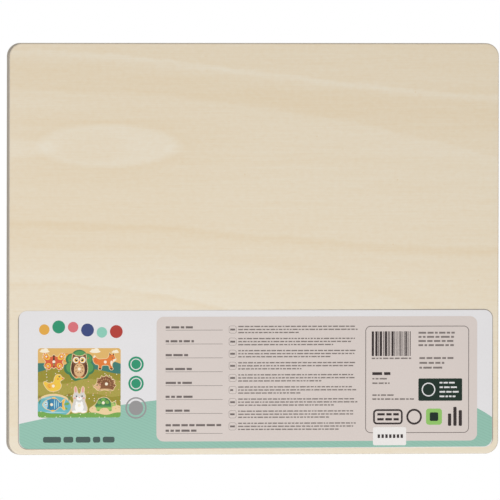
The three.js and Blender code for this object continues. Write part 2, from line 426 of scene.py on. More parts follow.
class LabelSettings(bpy.types.PropertyGroup):
    """Colours, layers and places of the label's print and the sticker on it."""

    paper: colour_setting("Paper", "Colour of the label's paper", display(229, 227, 228))
    sticker: colour_setting("Sticker", "Colour of the small sticker", display(237, 233, 230))
    band: colour_setting("Band", "Colour of the wavy band", display(149, 193, 176))
    panel: colour_setting("Panel", "Colour of the large panel", display(217, 206, 200))
    # Colour of the painted shadow along the label's edge.
    edge_shadow: colour_setting("Edge shadow", "Colour of the painted shadow along the paper's edge", display(150, 141, 130))
    ink_depth: length_setting("Ink depth", "Thickness of one layer of print", 0.012 * MM)
    tilt: turn_setting("Tilt", "Turn of the label on the board", -0.15)
    print_turn: turn_setting("Print turn", "Turn of the print on the label", 0.13)
    print_shift: place_setting("Print shift", "Move of the print on the label", (-0.45 * MM, 0.45 * MM))


class StageSettings(bpy.types.PropertyGroup):
    """Floor, light and camera."""

    floor: colour_setting("Floor", "Colour of the floor", (0.95, 0.95, 0.95, 1.0))
    floor_glow: share_setting("Floor glow", "Share of the background's white near the board", 0.3)
    room_light: share_setting("Room light", "Strength of the even light from all sides", 0.42)
    back_light: power_setting("Back light", "Power of the lamp on the board's back", 19.0)
    front_light: power_setting("Front light", "Power of the lamp on the board's front", 26.0)
    distance: length_setting("Distance", "From the camera to the board", 13.0)
    view_width: length_setting("View width", "Width of the picture at the board", 0.3015)
    yaw: turn_setting("Yaw", "Turn of the camera to the board's side", 10.2)
    pitch: turn_setting("Pitch", "Turn of the camera to the board's top edge", 1.0)
    roll: turn_setting("Roll", "Turn of the picture", 0.107)
    aim: place_setting("Aim", "Point of the board in the picture's middle", (0.0027, -0.00075, 0.00027))


class Noise(NamedTuple):
    """A layer of noise: its waves in a metre on each axis, the weight that it gets and its detail."""

    stretch: tuple
    weight: float = 1.0
    detail: float = 2.0


class Sheet:
    """Places nodes in one node tree and joins their sockets."""

    def __init__(self, tree):
        self.tree = tree

    def feed(self, socket, value):
        """Links a socket to another one, or sets its value."""
        if isinstance(value, bpy.types.NodeSocket):
            self.tree.links.new(value, socket)
        else:
            socket.default_value = value

    def feed_all(self, sockets, values):
        for key, value in values.items():
            self.feed(sockets[key], value)

    def node(self, kind, sockets=None, **settings):
        made = self.tree.nodes.new(kind)
        for key, value in settings.items():
            setattr(made, key, value)
        self.feed_all(made.inputs, sockets or {})
        return made

    def math(self, operation, first, second=0.0, third=0.0):
        return self.node("ShaderNodeMath", {0: first, 1: second, 2: third}, operation=operation).outputs[0]

    def scaled(self, value, factor, base):
        """The value times the factor, added to the base."""
        return self.math("MULTIPLY_ADD", value, factor, base)

    def vector(self, operation, first, second=(0, 0, 0)):
        return self.node("ShaderNodeVectorMath", {0: first, 1: second}, operation=operation).outputs[0]

    def length(self, vector):
        return self.node("ShaderNodeVectorMath", {0: vector}, operation="LENGTH").outputs["Value"]

    def mix(self, factor, first, second):
        return self.node("ShaderNodeMix", {0: factor, 6: first, 7: second}, data_type="RGBA").outputs[2]

    def blend(self, factor, first, second):
        return self.node("ShaderNodeMix", {0: factor, 2: first, 3: second}, data_type="FLOAT").outputs[0]

    def ramp(self, value, start, end):
        """A smooth rise from nought at the start to one at the end."""
        sockets = {"Value": value, "From Min": start, "From Max": end}
        return self.node("ShaderNodeMapRange", sockets, interpolation_type="SMOOTHSTEP").outputs[0]

    def noise(self, spot, layer):
        stretched = self.vector("MULTIPLY", spot, layer.stretch)
        sockets = {"Vector": stretched, "Scale": 1.0, "Detail": layer.detail}
        return self.node("ShaderNodeTexNoise", sockets).outputs[0]

    def swing(self, spot, layer):
        """Noise that swings to both sides of nought."""
        return self.math("SUBTRACT", self.noise(spot, layer), 0.5)

    def parts(self, vector):
        return self.node("ShaderNodeSeparateXYZ", {0: vector}).outputs

    def joined(self, x, y, z):
        return self.node("ShaderNodeCombineXYZ", {0: x, 1: y, 2: z}).outputs[0]

    def place(self, group, sockets):
        """Puts in a shader group with its own values."""
        return self.node("ShaderNodeGroup", sockets, node_tree=shader_group(group)).outputs


ORIGIN = (0.0, 0.0, 0.0)
UNIT = (1.0, 1.0, 1.0)
GREY = (0.5, 0.5, 0.5, 1.0)
BLACK = (0.0, 0.0, 0.0, 1.0)
WHITE = (1.0, 1.0, 1.0, 1.0)
FINISH = {"Color": GREY, "Roughness": 0.5, "Height": 0.0}
MASK = {"Mask": 0.0}


def socket_kind(value):
    """The kind of socket that holds such a value."""
    if isinstance(value, float):
        return "NodeSocketFloat"
    return "NodeSocketVector" if len(value) == len(ORIGIN) else "NodeSocketColor"


def new_group(name, inputs, outputs):
    """An empty shader group that takes a place and the inputs, and its sheet, inlet and outlet."""
    group = bpy.data.node_groups.new(name, "ShaderNodeTree")
    for label, value in {"Vector": ORIGIN, **inputs}.items():
        socket = group.interface.new_socket(name=label, in_out="INPUT", socket_type=socket_kind(value))
        socket.default_value = value
    for label, value in outputs.items():
        group.interface.new_socket(name=label, in_out="OUTPUT", socket_type=socket_kind(value))
    sheet = Sheet(group)
    inlet = sheet.node("NodeGroupInput").outputs
    outlet = sheet.node("NodeGroupOutput").inputs
    return group, sheet, inlet, outlet


RINGS_IN_METRE = 26.0
RING_TONE = 0.3
RING_SWAY = Noise((4.0, 9.0, 9.0), 2.2)
RING_TURN = 0.7
GRAIN_MIDDLE = 0.4
GRAIN_LAYERS = {
    "broad": Noise((2.0, 9.0, 9.0), 0.4),
    "streak": Noise((5.0, 160.0, 160.0), 0.36, 3.0),
    "fibre": Noise((34.0, 1300.0, 1300.0), 0.45),
    "flake": Noise((330.0, 460.0, 460.0), 0.42, 1.0),
}
PORES = Noise((110.0, 2300.0, 2300.0), -0.3, 1.0)
PORE_EDGE = (0.68, 0.8)
PORE_DEPTH = -0.6
GRAIN_ROUGHNESS = 0.6
STREAK_ROUGHNESS = 0.25


def wood_grain(name):
    """Peeled wood face: rings in a broad soft figure, with faint streaks, fibres and pores along X."""
    inputs = {"Light": GREY, "Dark": GREY, "Figure": 0.0, "Rings": RINGS_IN_METRE, "Ring Tone": RING_TONE}
    group, sheet, inlet, outlet = new_group(name, inputs, FINISH)
    spot = inlet["Vector"]
    even = sheet.math("MULTIPLY", sheet.parts(spot)["Y"], inlet["Rings"])
    ring = sheet.math("FRACT", sheet.scaled(sheet.swing(spot, RING_SWAY), RING_SWAY.weight, even))
    fall = sheet.math("SUBTRACT", 1.0, sheet.ramp(ring, RING_TURN, 1.0))
    growth = sheet.math("MULTIPLY", ring, fall)
    tone = sheet.scaled(growth, inlet["Ring Tone"], sheet.math("ADD", inlet["Figure"], GRAIN_MIDDLE))
    swings = {}
    for layer, noise in GRAIN_LAYERS.items():
        swings[layer] = sheet.swing(spot, noise)
        tone = sheet.scaled(swings[layer], noise.weight, tone)
    pore = sheet.ramp(sheet.noise(spot, PORES), *PORE_EDGE)
    tone = sheet.scaled(pore, PORES.weight, tone)
    share = sheet.node("ShaderNodeClamp", {0: tone}).outputs[0]
    sheet.feed_all(outlet, {
        "Color": sheet.mix(share, inlet["Dark"], inlet["Light"]),
        "Roughness": sheet.scaled(swings["streak"], STREAK_ROUGHNESS, GRAIN_ROUGHNESS),
        "Height": sheet.scaled(pore, PORE_DEPTH, swings["fibre"])})
    return group


PLY_WAVER = Noise((60.0, 60.0, 0.0), 0.18)
PLY_STREAKS = Noise((90.0, 90.0, 2600.0), detail=3.0)
PLY_ENDS = Noise((1500.0, 1500.0, 900.0), detail=1.0)
PLY_GRAIN_DARKNESS = 0.5
PLY_END_DARKNESS = 0.5
GLUE_EDGE = (0.07, 0.02)
GLUE_DARKNESS = 0.9
PLY_ROUGHNESS = 0.65
PLY_ROUGHENING = 0.2


def ply_edge(name):
    """Sawn plywood edge: plies that run along it and plies that end in it, with glue lines between them."""
    inputs = {"Low": 0.0, "Thickness": 0.01, "Plies": 3.0, "Light": GREY, "Dark": GREY}
    group, sheet, inlet, outlet = new_group(name, inputs, FINISH)
    spot = inlet["Vector"]
    height = sheet.math("SUBTRACT", sheet.parts(spot)["Z"], inlet["Low"])
    share = sheet.math("DIVIDE", height, inlet["Thickness"])
    waver = sheet.math("MULTIPLY", sheet.swing(spot, PLY_WAVER), PLY_WAVER.weight)
    ply = sheet.scaled(share, inlet["Plies"], waver)
    ends = sheet.math("GREATER_THAN", sheet.math("PINGPONG", sheet.math("FLOOR", ply), 1.0), 0.5)
    tone = sheet.blend(ends, sheet.noise(spot, PLY_STREAKS), sheet.noise(spot, PLY_ENDS))
    dark = sheet.scaled(ends, PLY_END_DARKNESS, sheet.math("MULTIPLY", tone, PLY_GRAIN_DARKNESS))
    glue = sheet.ramp(sheet.math("PINGPONG", ply, 0.5), *GLUE_EDGE)
    depth = sheet.math("MAXIMUM", dark, sheet.math("MULTIPLY", glue, GLUE_DARKNESS))
    sheet.feed_all(outlet, {
        "Color": sheet.mix(depth, inlet["Light"], inlet["Dark"]),
        "Roughness": sheet.scaled(tone, PLY_ROUGHENING, PLY_ROUGHNESS),
        "Height": sheet.math("SUBTRACT", tone, glue)})
    return group


INK_STREAKS = Noise((9.0, 260.0, 260.0), detail=3.0)
INK_FIBRES = Noise((60.0, 1700.0, 1700.0))
INK_THINNING = 0.42
INK_ROUGHNESS = 0.5
INK_ROUGHENING = 0.2


def printed_ink(name):
    """Satin print on wood: the grain shows faintly through the ink."""
    group, sheet, inlet, outlet = new_group(name, {"Color": GREY, "Wood": GREY}, FINISH)
    streak = sheet.noise(inlet["Vector"], INK_STREAKS)
    fibre = sheet.noise(inlet["Vector"], INK_FIBRES)
    thin = sheet.math("MULTIPLY", sheet.math("MULTIPLY", streak, fibre), INK_THINNING)
    sheet.feed_all(outlet, {
        "Color": sheet.mix(thin, inlet["Color"], inlet["Wood"]),
        "Roughness": sheet.scaled(fibre, INK_ROUGHENING, INK_ROUGHNESS),
        "Height": fibre})
    return group


LINE_WANDERS = (Noise((24.0, 40.0, 0.0), 5 * MM), Noise((110.0, 60.0, 0.0), 2.4 * MM))


def growth_line(name):
    """One on a bent growth line across the wood, fading to nought above and below it."""
    inputs = {"Level": 0.0, "Slope": 0.0, "Bend": 0.0, "Twist": 0.0, "Above": MM, "Below": MM}
    group, sheet, inlet, outlet = new_group(name, inputs, MASK)
    spot = sheet.parts(inlet["Vector"])
    line = inlet["Twist"]
    for term in ("Bend", "Slope", "Level"):
        line = sheet.scaled(spot["X"], line, inlet[term])
    for wander in LINE_WANDERS:
        line = sheet.scaled(sheet.swing(inlet["Vector"], wander), wander.weight, line)
    depth = sheet.math("SUBTRACT", line, spot["Y"])
    rise = sheet.ramp(depth, sheet.math("MULTIPLY", inlet["Above"], -1.0), 0.0)
    fall = sheet.ramp(depth, inlet["Below"], 0.0)
    sheet.feed(outlet["Mask"], sheet.math("MINIMUM", rise, fall))
    return group


PAPER_MOTTLE = Noise((900.0, 900.0, 900.0), 0.05, 3.0)
PAPER_WAVES = Noise((18.0, 30.0, 30.0), 0.05)
PAPER_WAVE_HEIGHT = 4.0
PAPER_ROUGHNESS = 0.42
PAPER_ROUGHENING = 0.15


def paper_fibre(name):
    """Coated paper or print on it: faint mottling, and a very slight waviness."""
    group, sheet, inlet, outlet = new_group(name, {"Color": GREY}, FINISH)
    mottle = sheet.noise(inlet["Vector"], PAPER_MOTTLE)
    wave = sheet.noise(inlet["Vector"], PAPER_WAVES)
    share = sheet.scaled(mottle, PAPER_MOTTLE.weight, sheet.math("MULTIPLY", wave, PAPER_WAVES.weight))
    sheet.feed_all(outlet, {
        "Color": sheet.mix(share, inlet["Color"], BLACK),
        "Roughness": sheet.scaled(mottle, PAPER_ROUGHENING, PAPER_ROUGHNESS),
        "Height": sheet.scaled(wave, PAPER_WAVE_HEIGHT, mottle)})
    return group


STREWN_DISORDER = 0.8
STREWN_EDGE = (1.2, 0.8)


def strewn_mask(name):
    """One on spots strewn at random, nought between them."""
    group, sheet, inlet, outlet = new_group(name, {"Pitch": UNIT, "Size": UNIT, "Kept": 1.0}, MASK)
    spread = sheet.vector("DIVIDE", inlet["Vector"], inlet["Pitch"])
    sockets = {"Vector": spread, "Scale": 1.0, "Randomness": STREWN_DISORDER}
    cell = sheet.node("ShaderNodeTexVoronoi", sockets, voronoi_dimensions="2D").outputs
    away = sheet.vector("MULTIPLY", sheet.vector("SUBTRACT", spread, cell["Position"]), inlet["Pitch"])
    reach = sheet.length(sheet.vector("DIVIDE", away, inlet["Size"]))
    chosen = sheet.math("LESS_THAN", sheet.parts(cell["Color"])["X"], inlet["Kept"])
    sheet.feed(outlet["Mask"], sheet.math("MULTIPLY", sheet.ramp(reach, *STREWN_EDGE), chosen))
    return group


def oval_mask(name):
    """One inside a turned oval, nought outside it."""
    inputs = {"Centre": ORIGIN, "Size": UNIT, "Turn": 0.0, "Soft": 0.03}
    group, sheet, inlet, outlet = new_group(name, inputs, MASK)
    local = sheet.vector("SUBTRACT", inlet["Vector"], inlet["Centre"])
    sockets = {"Vector": local, "Angle": sheet.math("MULTIPLY", inlet["Turn"], -1.0)}
    turned = sheet.node("ShaderNodeVectorRotate", sockets, rotation_type="Z_AXIS").outputs[0]
    reach = sheet.length(sheet.vector("DIVIDE", turned, inlet["Size"]))
    outer = sheet.math("ADD", 1.0, inlet["Soft"])
    inner = sheet.math("SUBTRACT", 1.0, inlet["Soft"])
    sheet.feed(outlet["Mask"], sheet.ramp(reach, outer, inner))
    return group


RIPPLE_WAVES = 2.3
RIPPLE_HEIGHT = 0.4
HILL_EDGE = 0.002


def hill_mask(name):
    """One below a wavy line, nought above it."""
    inputs = {"Level": 0.0, "Height": 0.05, "Waves": 3.0, "Shift": 0.0}
    group, sheet, inlet, outlet = new_group(name, inputs, MASK)
    spot = sheet.parts(inlet["Vector"])
    phase = sheet.scaled(spot["X"], inlet["Waves"], inlet["Shift"])
    ripple = sheet.math("SINE", sheet.math("MULTIPLY", phase, RIPPLE_WAVES))
    wave = sheet.math("ADD", sheet.math("SINE", phase), sheet.math("MULTIPLY", ripple, RIPPLE_HEIGHT))
    line = sheet.scaled(wave, inlet["Height"], inlet["Level"])
    sheet.feed(outlet["Mask"], sheet.ramp(sheet.math("SUBTRACT", line, spot["Y"]), -HILL_EDGE, HILL_EDGE))
    return group


def meadow_picture(name):
    """The landscape on the board's front, in shares of half its width."""
    group, sheet, inlet, outlet = new_group(name, {}, {"Color": GREY})
    sheet.feed(outlet["Color"], layered_print(sheet, inlet["Vector"], MEADOW_SKY, MEADOW))
    return group


GROUP_BUILDERS = {builder.__name__: builder for builder in (
    wood_grain, ply_edge, printed_ink, growth_line, paper_fibre,
    strewn_mask, oval_mask, hill_mask, meadow_picture)}


def shader_group(name):
    """The shader group of that name, built the first time that it is asked for."""
    return bpy.data.node_groups.get(name) or GROUP_BUILDERS[name](name)


PRINT_EDGE = 0.003


def layered_print(sheet, vector, base, layers, paling=0.0):
    """Colour of a print made of flat layers of ink on a base ink."""
    colour = paled(base, paling)
    ground = 1.0
    for layer in layers:
        if isinstance(layer, Hill):
            sockets = {"Vector": vector, "Level": layer.level, "Height": layer.height,
                       "Waves": layer.waves, "Shift": layer.shift}
            ground = sheet.place("hill_mask", sockets)["Mask"]
            mask = ground
        elif isinstance(layer, Strewn):
            mask = sheet.math("MULTIPLY", strewn(sheet, vector, layer), ground)
        else:
            soft = PRINT_EDGE / min(layer.wide, layer.high)
            mask = patch_mask(sheet, vector, layer, 1.0, math.radians(layer.turn), soft)
        colour = sheet.mix(mask, colour, paled(layer.ink, paling))
    return colour


def strewn(sheet, vector, spots):
    """Mask of strewn spots."""
    return sheet.place("strewn_mask", {
        "Vector": vector, "Pitch": (spots.pitch_x, spots.pitch_y, 1.0),
        "Size": (spots.wide, spots.high, 1.0), "Kept": spots.kept})["Mask"]


def patch_mask(sheet, vector, patch, deep, turn, soft):
    """Mask of an oval patch with an edge more or less soft."""
    return sheet.place("oval_mask", {
        "Vector": vector, "Centre": (patch.x, patch.y, 0.0), "Size": (patch.wide, patch.high, deep),
        "Turn": turn, "Soft": soft})["Mask"]


def paled(ink, paling):
    """An ink moved towards cream."""
    return [own + (cream - own) * paling for own, cream in zip(INKS[ink], INKS["cream"])]


def new_material(name, gloss=0.3):
    """A material with its sheet, its shader and the object's own coordinates."""
    material = bpy.data.materials.new(name)
    material.use_nodes = True
    sheet = Sheet(material.node_tree)
    shader = material.node_tree.nodes["Principled BSDF"]
    shader.inputs["Specular IOR Level"].default_value = gloss
    spot = sheet.node("ShaderNodeTexCoord").outputs["Object"]
    return material, sheet, shader, spot


RELIEF_STRENGTH = 0.5
WOOD_RELIEF = 0.04 * MM
PEG_RELIEF = 0.03 * MM
PRINT_RELIEF = 0.02 * MM
PAPER_RELIEF = 0.01 * MM
# Steepness at which the face colour gives way to the sawn-ply colour; it reaches well up the sanded arrises,
# so their darker outer part is partly bared plies and partly painted shade.
FACE_STEEPNESS = (0.55, 0.92)
ANY_DEPTH = 1000.0


def dress(sheet, shader, finish, relief):
    """Joins a finish's colour, roughness and fine relief to the shader."""
    sockets = {"Strength": RELIEF_STRENGTH, "Distance": relief, "Height": finish["Height"]}
    bump = sheet.node("ShaderNodeBump", sockets).outputs[0]
    values = {"Base Color": finish["Color"], "Roughness": finish["Roughness"], "Normal": bump}
    sheet.feed_all(shader.inputs, values)


def plywood(name, node, plies, islands=(), lines=(), specks=(), ring_tone=RING_TONE):
    """Plywood that shows its face grain on flats and its plies on sawn edges; the ply colour also darkens the
    sanded arrises, partly as painted shade.
    """
    wood = bpy.context.scene.puzzle_wood
    low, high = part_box(node)
    material, sheet, shader, spot = new_material(name)
    tone = 0.0
    for line in lines:
        sockets = {"Vector": spot, "Level": line.level, "Slope": line.slope, "Bend": line.bend,
                   "Twist": line.twist, "Above": line.above, "Below": line.below}
        tone = sheet.scaled(sheet.place("growth_line", sockets)["Mask"], line.tone, tone)
    for island in islands:
        tone = sheet.scaled(patch_mask(sheet, spot, island, ANY_DEPTH, 0.0, island.soft), island.tone, tone)
    for speck in specks:
        tone = sheet.scaled(strewn(sheet, spot, speck), speck.tone, tone)
    face = sheet.place("wood_grain", {
        "Vector": spot, "Light": wood.light, "Dark": wood.dark, "Figure": tone, "Ring Tone": ring_tone})
    edge = sheet.place("ply_edge", {
        "Vector": spot, "Low": low.z, "Thickness": high.z - low.z, "Plies": plies,
        "Light": wood.edge_light, "Dark": wood.edge_dark})
    normal = sheet.parts(sheet.node("ShaderNodeNewGeometry").outputs["Normal"])
    # The ply colour on the outer part of every sanded arris is partly painted shade.
    flat = sheet.ramp(sheet.math("ABSOLUTE", normal["Z"]), *FACE_STEEPNESS)
    finish = {
        "Color": sheet.mix(flat, edge["Color"], face["Color"]),
        "Height": sheet.blend(flat, edge["Height"], face["Height"]),
        "Roughness": sheet.blend(flat, edge["Roughness"], face["Roughness"]),
    }
    dress(sheet, shader, finish, WOOD_RELIEF)
    return material


def peg_wood():
    """Turned wood with its grain along the peg."""
    peg = bpy.context.scene.puzzle_pegs
    material, sheet, shader, spot = new_material("peg_wood")
    xyz = sheet.parts(spot)
    upright = sheet.joined(xyz["Z"], xyz["X"], xyz["Y"])
    grain = sheet.place("wood_grain", {"Vector": upright, "Light": peg.light, "Dark": peg.dark})
    dress(sheet, shader, grain, PEG_RELIEF)
    return material


def wood_print(name, picture):
    """Printed wood, whose colour the picture function works out from the object's coordinates."""
    wood = bpy.context.scene.puzzle_wood
    material, sheet, shader, spot = new_material(name)
    ink = sheet.place("printed_ink", {"Vector": spot, "Color": picture(sheet, spot), "Wood": wood.light})
    dress(sheet, shader, ink, PRINT_RELIEF)
    return material


def scaled_spot(sheet, spot, centre, unit_x, unit_y):
    """Coordinates round a centre, in the units that a print is drawn in."""
    local = sheet.vector("SUBTRACT", spot, (*centre, 0))
    return sheet.vector("MULTIPLY", local, (1 / unit_x, 1 / unit_y, 0))


def middle_of(node):
    """The middle of a node as seen from above."""
    low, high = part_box(node)
    return ((low + high) / 2).to_2d()


def half_width(node):
    """Half a node's size along the board."""
    low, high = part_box(node)
    return (high.x - low.x) / 2


def animal_picture(animal, centre, unit_x, unit_y, paling=0.0):
    """A function that draws an animal's print round a centre."""
    base, spots = ANIMAL_PRINTS[animal]

    def picture(sheet, spot):
        return layered_print(sheet, scaled_spot(sheet, spot, centre, unit_x, unit_y), base, spots, paling)

    return picture


def animal_print(name, animal, paling=0.0):
    """The print on an animal, or paler on the recess floor under it."""
    node = animal + "_piece"
    half = half_width(node)
    return wood_print(name, animal_picture(animal, middle_of(node), half, half, paling))


def meadow(centre, unit_x, unit_y):
    """A function that draws the landscape round a centre."""
    def picture(sheet, spot):
        vector = scaled_spot(sheet, spot, centre, unit_x, unit_y)
        return sheet.place("meadow_picture", {"Vector": vector})["Color"]

    return picture


def meadow_print():
    """The landscape printed on the front of the board."""
    half = half_width("frame_board")
    return wood_print("meadow_print", meadow((0, 0), half, half))


PAPER_GLOSS = 0.1


def paper_print(name, colour):
    """Paper, or ink on paper, in a colour or in a picture worked out from the object's coordinates."""
    material, sheet, shader, spot = new_material(name, PAPER_GLOSS)
    shown = colour(sheet, spot) if callable(colour) else colour
    paper = sheet.place("paper_fibre", {"Vector": spot, "Color": shown})
    dress(sheet, shader, paper, PAPER_RELIEF)
    return material


OUTLINE_STEPS = 3
CORNER_STEPS = 12
ARRIS_STEPS = 4
FOLD_PASSES = 12
PLACE_DIGITS = 6
LEVEL_TOLERANCE = 0.01 * MM
SIDE_TOLERANCE = 0.001 * MM
WELD_DISTANCE = 0.0005 * MM


def loop_area(points):
    """Signed area inside a loop, positive where it runs anticlockwise."""
    following = points[1:] + points[:1]
    return sum(a.x * b.y - b.x * a.y for a, b in zip(points, following)) / 2


def top_loops(node):
    """The edges of a node's flat top as loops with the wood on their left, the outer one first."""
    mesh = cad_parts[node].data
    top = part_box(node)[1].z
    edges = set()
    for triangle in mesh.polygons:
        corners = [mesh.vertices[index].co for index in triangle.vertices]
        if min(corner.z for corner in corners) < top - LEVEL_TOLERANCE:
            continue
        keys = [(round(corner.x, PLACE_DIGITS), round(corner.y, PLACE_DIGITS)) for corner in corners]
        for edge in zip(keys, keys[1:] + keys[:1]):
            if edge[::-1] in edges:
                edges.remove(edge[::-1])
            else:
                edges.add(edge)
    following = dict(edges)
    loops = []
    while following:
        start, point = following.popitem()
        loop = [Vector(start)]
        while point != start:
            loop.append(Vector(point))
            point = following.pop(point)
        loops.append(loop)
    return sorted(loops, key=loop_area, reverse=True)


def between(first, second, share):
    """A point on the way from the first one to the second."""
    return first + (second - first) * share


def smooth_loop(points):
    """A closed curve through the points, with a few steps between two of them."""
    count = len(points)
    fine = []
    for index in range(count):
        p0, p1, p2, p3 = (points[(index + shift) % count] for shift in (-1, 0, 1, 2))
        t1 = (p1 - p0).length ** 0.5
        t2 = t1 + (p2 - p1).length ** 0.5
        t3 = t2 + (p3 - p2).length ** 0.5
        for step in range(OUTLINE_STEPS):
            t = t1 + (t2 - t1) * step / OUTLINE_STEPS
            a1 = between(p0, p1, t / t1)
            a2 = between(p1, p2, (t - t1) / (t2 - t1))
            a3 = between(p2, p3, (t - t2) / (t3 - t2))
            b1 = between(a1, a2, t / t2)
            b2 = between(a2, a3, (t - t1) / (t3 - t1))
            fine.append(between(b1, b2, (t - t1) / (t2 - t1)))
    return fine


def inset_loop(points, distance):
    """Moves a loop to its left, into the wood, and closes up any fold that makes."""
    count = len(points)
    moved = []
    for index in range(count):
        along = (points[(index + 1) % count] - points[index - 1]).normalized()
        moved.append(points[index] + Vector((-along.y, along.x)) * distance)
    for _ in range(FOLD_PASSES):
        for index in range(count):
            after = (index + 1) % count
            if (moved[after] - moved[index]).dot(points[after] - points[index]) < 0:
                moved[index] = (moved[after] + moved[index]) / 2
                moved[after] = moved[index].copy()
    return moved


def oblong(left, bottom, right, top):
    """The corners of an oblong, anticlockwise."""
    return [(right, bottom), (right, top), (left, top), (left, bottom)]


def rounded_oblong(left, bottom, right, top, radius):
    """An oblong with round corners, anticlockwise from its lower right corner."""
    points = []
    middles = oblong(left + radius, bottom + radius, right - radius, top - radius)
    for quarter, (x, y) in enumerate(middles):
        for step in range(CORNER_STEPS + 1):
            angle = math.pi / 2 * (quarter - 1 + step / CORNER_STEPS)
            points.append(Vector((x + radius * math.cos(angle), y + radius * math.sin(angle))))
    return points


def circle(x, y, radius, sides):
    """A round outline with that many sides, anticlockwise."""
    turns = [math.tau * side / sides for side in range(sides)]
    return [Vector((x + radius * math.cos(turn), y + radius * math.sin(turn))) for turn in turns]


def board_outline(node):
    """The board's outline with finer corners than the CAD has."""
    low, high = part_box(node)
    straight = max(point.x for point in top_loops(node)[0] if point.y > high.y - SIDE_TOLERANCE)
    return rounded_oblong(low.x, low.y, high.x, high.y, high.x - straight)


def ring_at(mesh, points, height):
    """New corners of a mesh at one height."""
    return [mesh.verts.new((point.x, point.y, height)) for point in points]


def wall(mesh, lower, upper):
    """Smooth faces between two rings, facing right of the direction that they run in."""
    for index, corner in enumerate(lower):
        after = (index + 1) % len(lower)
        mesh.faces.new((corner, lower[after], upper[after], upper[index])).smooth = True


def cap(mesh, rings, upward, material=0):
    """A flat face inside the first ring and outside the others."""
    corners = [vertex for ring in rings for vertex in ring]
    flat = [[(vertex.co / MM).to_2d().to_3d() for vertex in ring] for ring in rings]
    for indices in tessellate_polygon(flat):
        triangle = [corners[index] for index in indices]
        a, b, c = (vertex.co for vertex in triangle)
        if ((b - a).cross(c - a).z > 0) != upward:
            triangle.reverse()
        mesh.faces.new(triangle).material_index = material


def sanded_walls(mesh, loops, low, high, low_arris, high_arris):
    """The walls of a sawn board with round arrises, and its lowest and highest rings."""
    turns = [math.pi / 2 * step / ARRIS_STEPS for step in range(ARRIS_STEPS + 1)]
    rounds = [(1 - math.sin(turn), 1 - math.cos(turn)) for turn in turns]
    levels = [(low_arris * inward, low + low_arris * upward) for inward, upward in rounds]
    levels += [(high_arris * inward, high - high_arris * downward) for downward, inward in rounds]
    lowest = []
    highest = []
    for loop in loops:
        rings = [ring_at(mesh, inset_loop(loop, inset), height) for inset, height in levels]
        for lower, upper in zip(rings, rings[1:]):
            wall(mesh, lower, upper)
        lowest.append(rings[0])
        highest.append(rings[-1])
    return lowest, highest


def finish_piece(mesh, name, materials, body, node=None, place=Matrix()):
    """Turns the mesh into a piece that rides on a body and may stand for a CAD node."""
    bmesh.ops.remove_doubles(mesh, verts=mesh.verts, dist=WELD_DISTANCE)
    data = bpy.data.meshes.new(name)
    mesh.to_mesh(data)
    mesh.free()
    for material in materials:
        data.materials.append(material)
    piece = bpy.data.objects.new(name, data)
    bpy.context.scene.collection.objects.link(piece)
    piece.matrix_world = place
    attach(piece, body)
    if node:
        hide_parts(node)
    return piece


class Island(NamedTuple):
    """A lighter or darker patch on the wood's face, with an edge more or less soft; its place and size are in
    metres.
    """

    tone: float
    x: float
    y: float
    wide: float
    high: float
    soft: float


class Growth(NamedTuple):
    """A growth line across the board, in metres: its height, slope, bend, twist and reach up and down."""

    tone: float
    level: float
    slope: float
    bend: float
    twist: float
    above: float
    below: float


class Speck(NamedTuple):
    """Small dark or light fibres strewn over the wood, in metres."""

    tone: float
    pitch_x: float
    pitch_y: float
    wide: float
    high: float
    kept: float


BACK_SPECKS = [
    Speck(-0.55, 0.05, 0.04, 0.0005, 0.0005, 0.4),
    Speck(-0.25, 0.014, 0.01, 0.0007, 0.00025, 0.3),
]
BACK_ISLANDS = [
    Island(-0.13, 0.09, 0.0635, 0.072, 0.026, 0.45),
    Island(-0.07, 0.0885, 0.0622, 0.05, 0.0158, 0.15),
    Island(0.44, 0.0895, 0.0622, 0.0425, 0.0128, 0.14),
    Island(0.12, 0.0485, 0.0602, 0.007, 0.003, 0.5),
    Island(0.3, 0.1505, 0.0604, 0.027, 0.0058, 0.35),
    Island(-0.16, 0.1006, 0.0614, 0.0225, 0.0095, 0.35),
    Island(0.1, -0.07, 0.04, 0.1, 0.035, 0.6),
    Island(0.16, 0.02, -0.055, 0.2, 0.05, 0.6),
    # A lighter strip along the board's bottom edge: a painted sheen over the wood's own grain.
    Island(0.35, 0.0, -0.126, 0.4, 0.016, 0.5),
]
BACK_LINES = [
    Growth(-0.08, 0.1068, 0.127, -0.08, -1.7, 0.016, 0.001),
    Growth(0.27, 0.1068, 0.127, -0.08, -1.7, 0.0018, 0.0045),
    Growth(-0.18, 0.0965, 0.115, -0.08, -1.3, 0.01, 0.024),
    Growth(-0.12, 0.087, 0.135, -0.49, 0.0, 0.014, 0.0028),
    Growth(0.09, 0.085, 0.135, -0.49, 0.0, 0.003, 0.02),
    Growth(-0.25, 0.0076, 0.091, -0.03, -1.7, 0.0028, 0.006),
    Growth(-0.12, -0.0086, 0.13, -0.85, 4.0, 0.011, 0.003),
    Growth(0.16, -0.041, 0.28, -0.94, 0.0, 0.012, 0.001),
    Growth(-0.21, -0.041, 0.28, -0.94, 0.0, 0.0012, 0.005),
]
BACK_RING_TONE = 0.06


BACK_PLIES = 3.0
FRONT_PLIES = 5.0


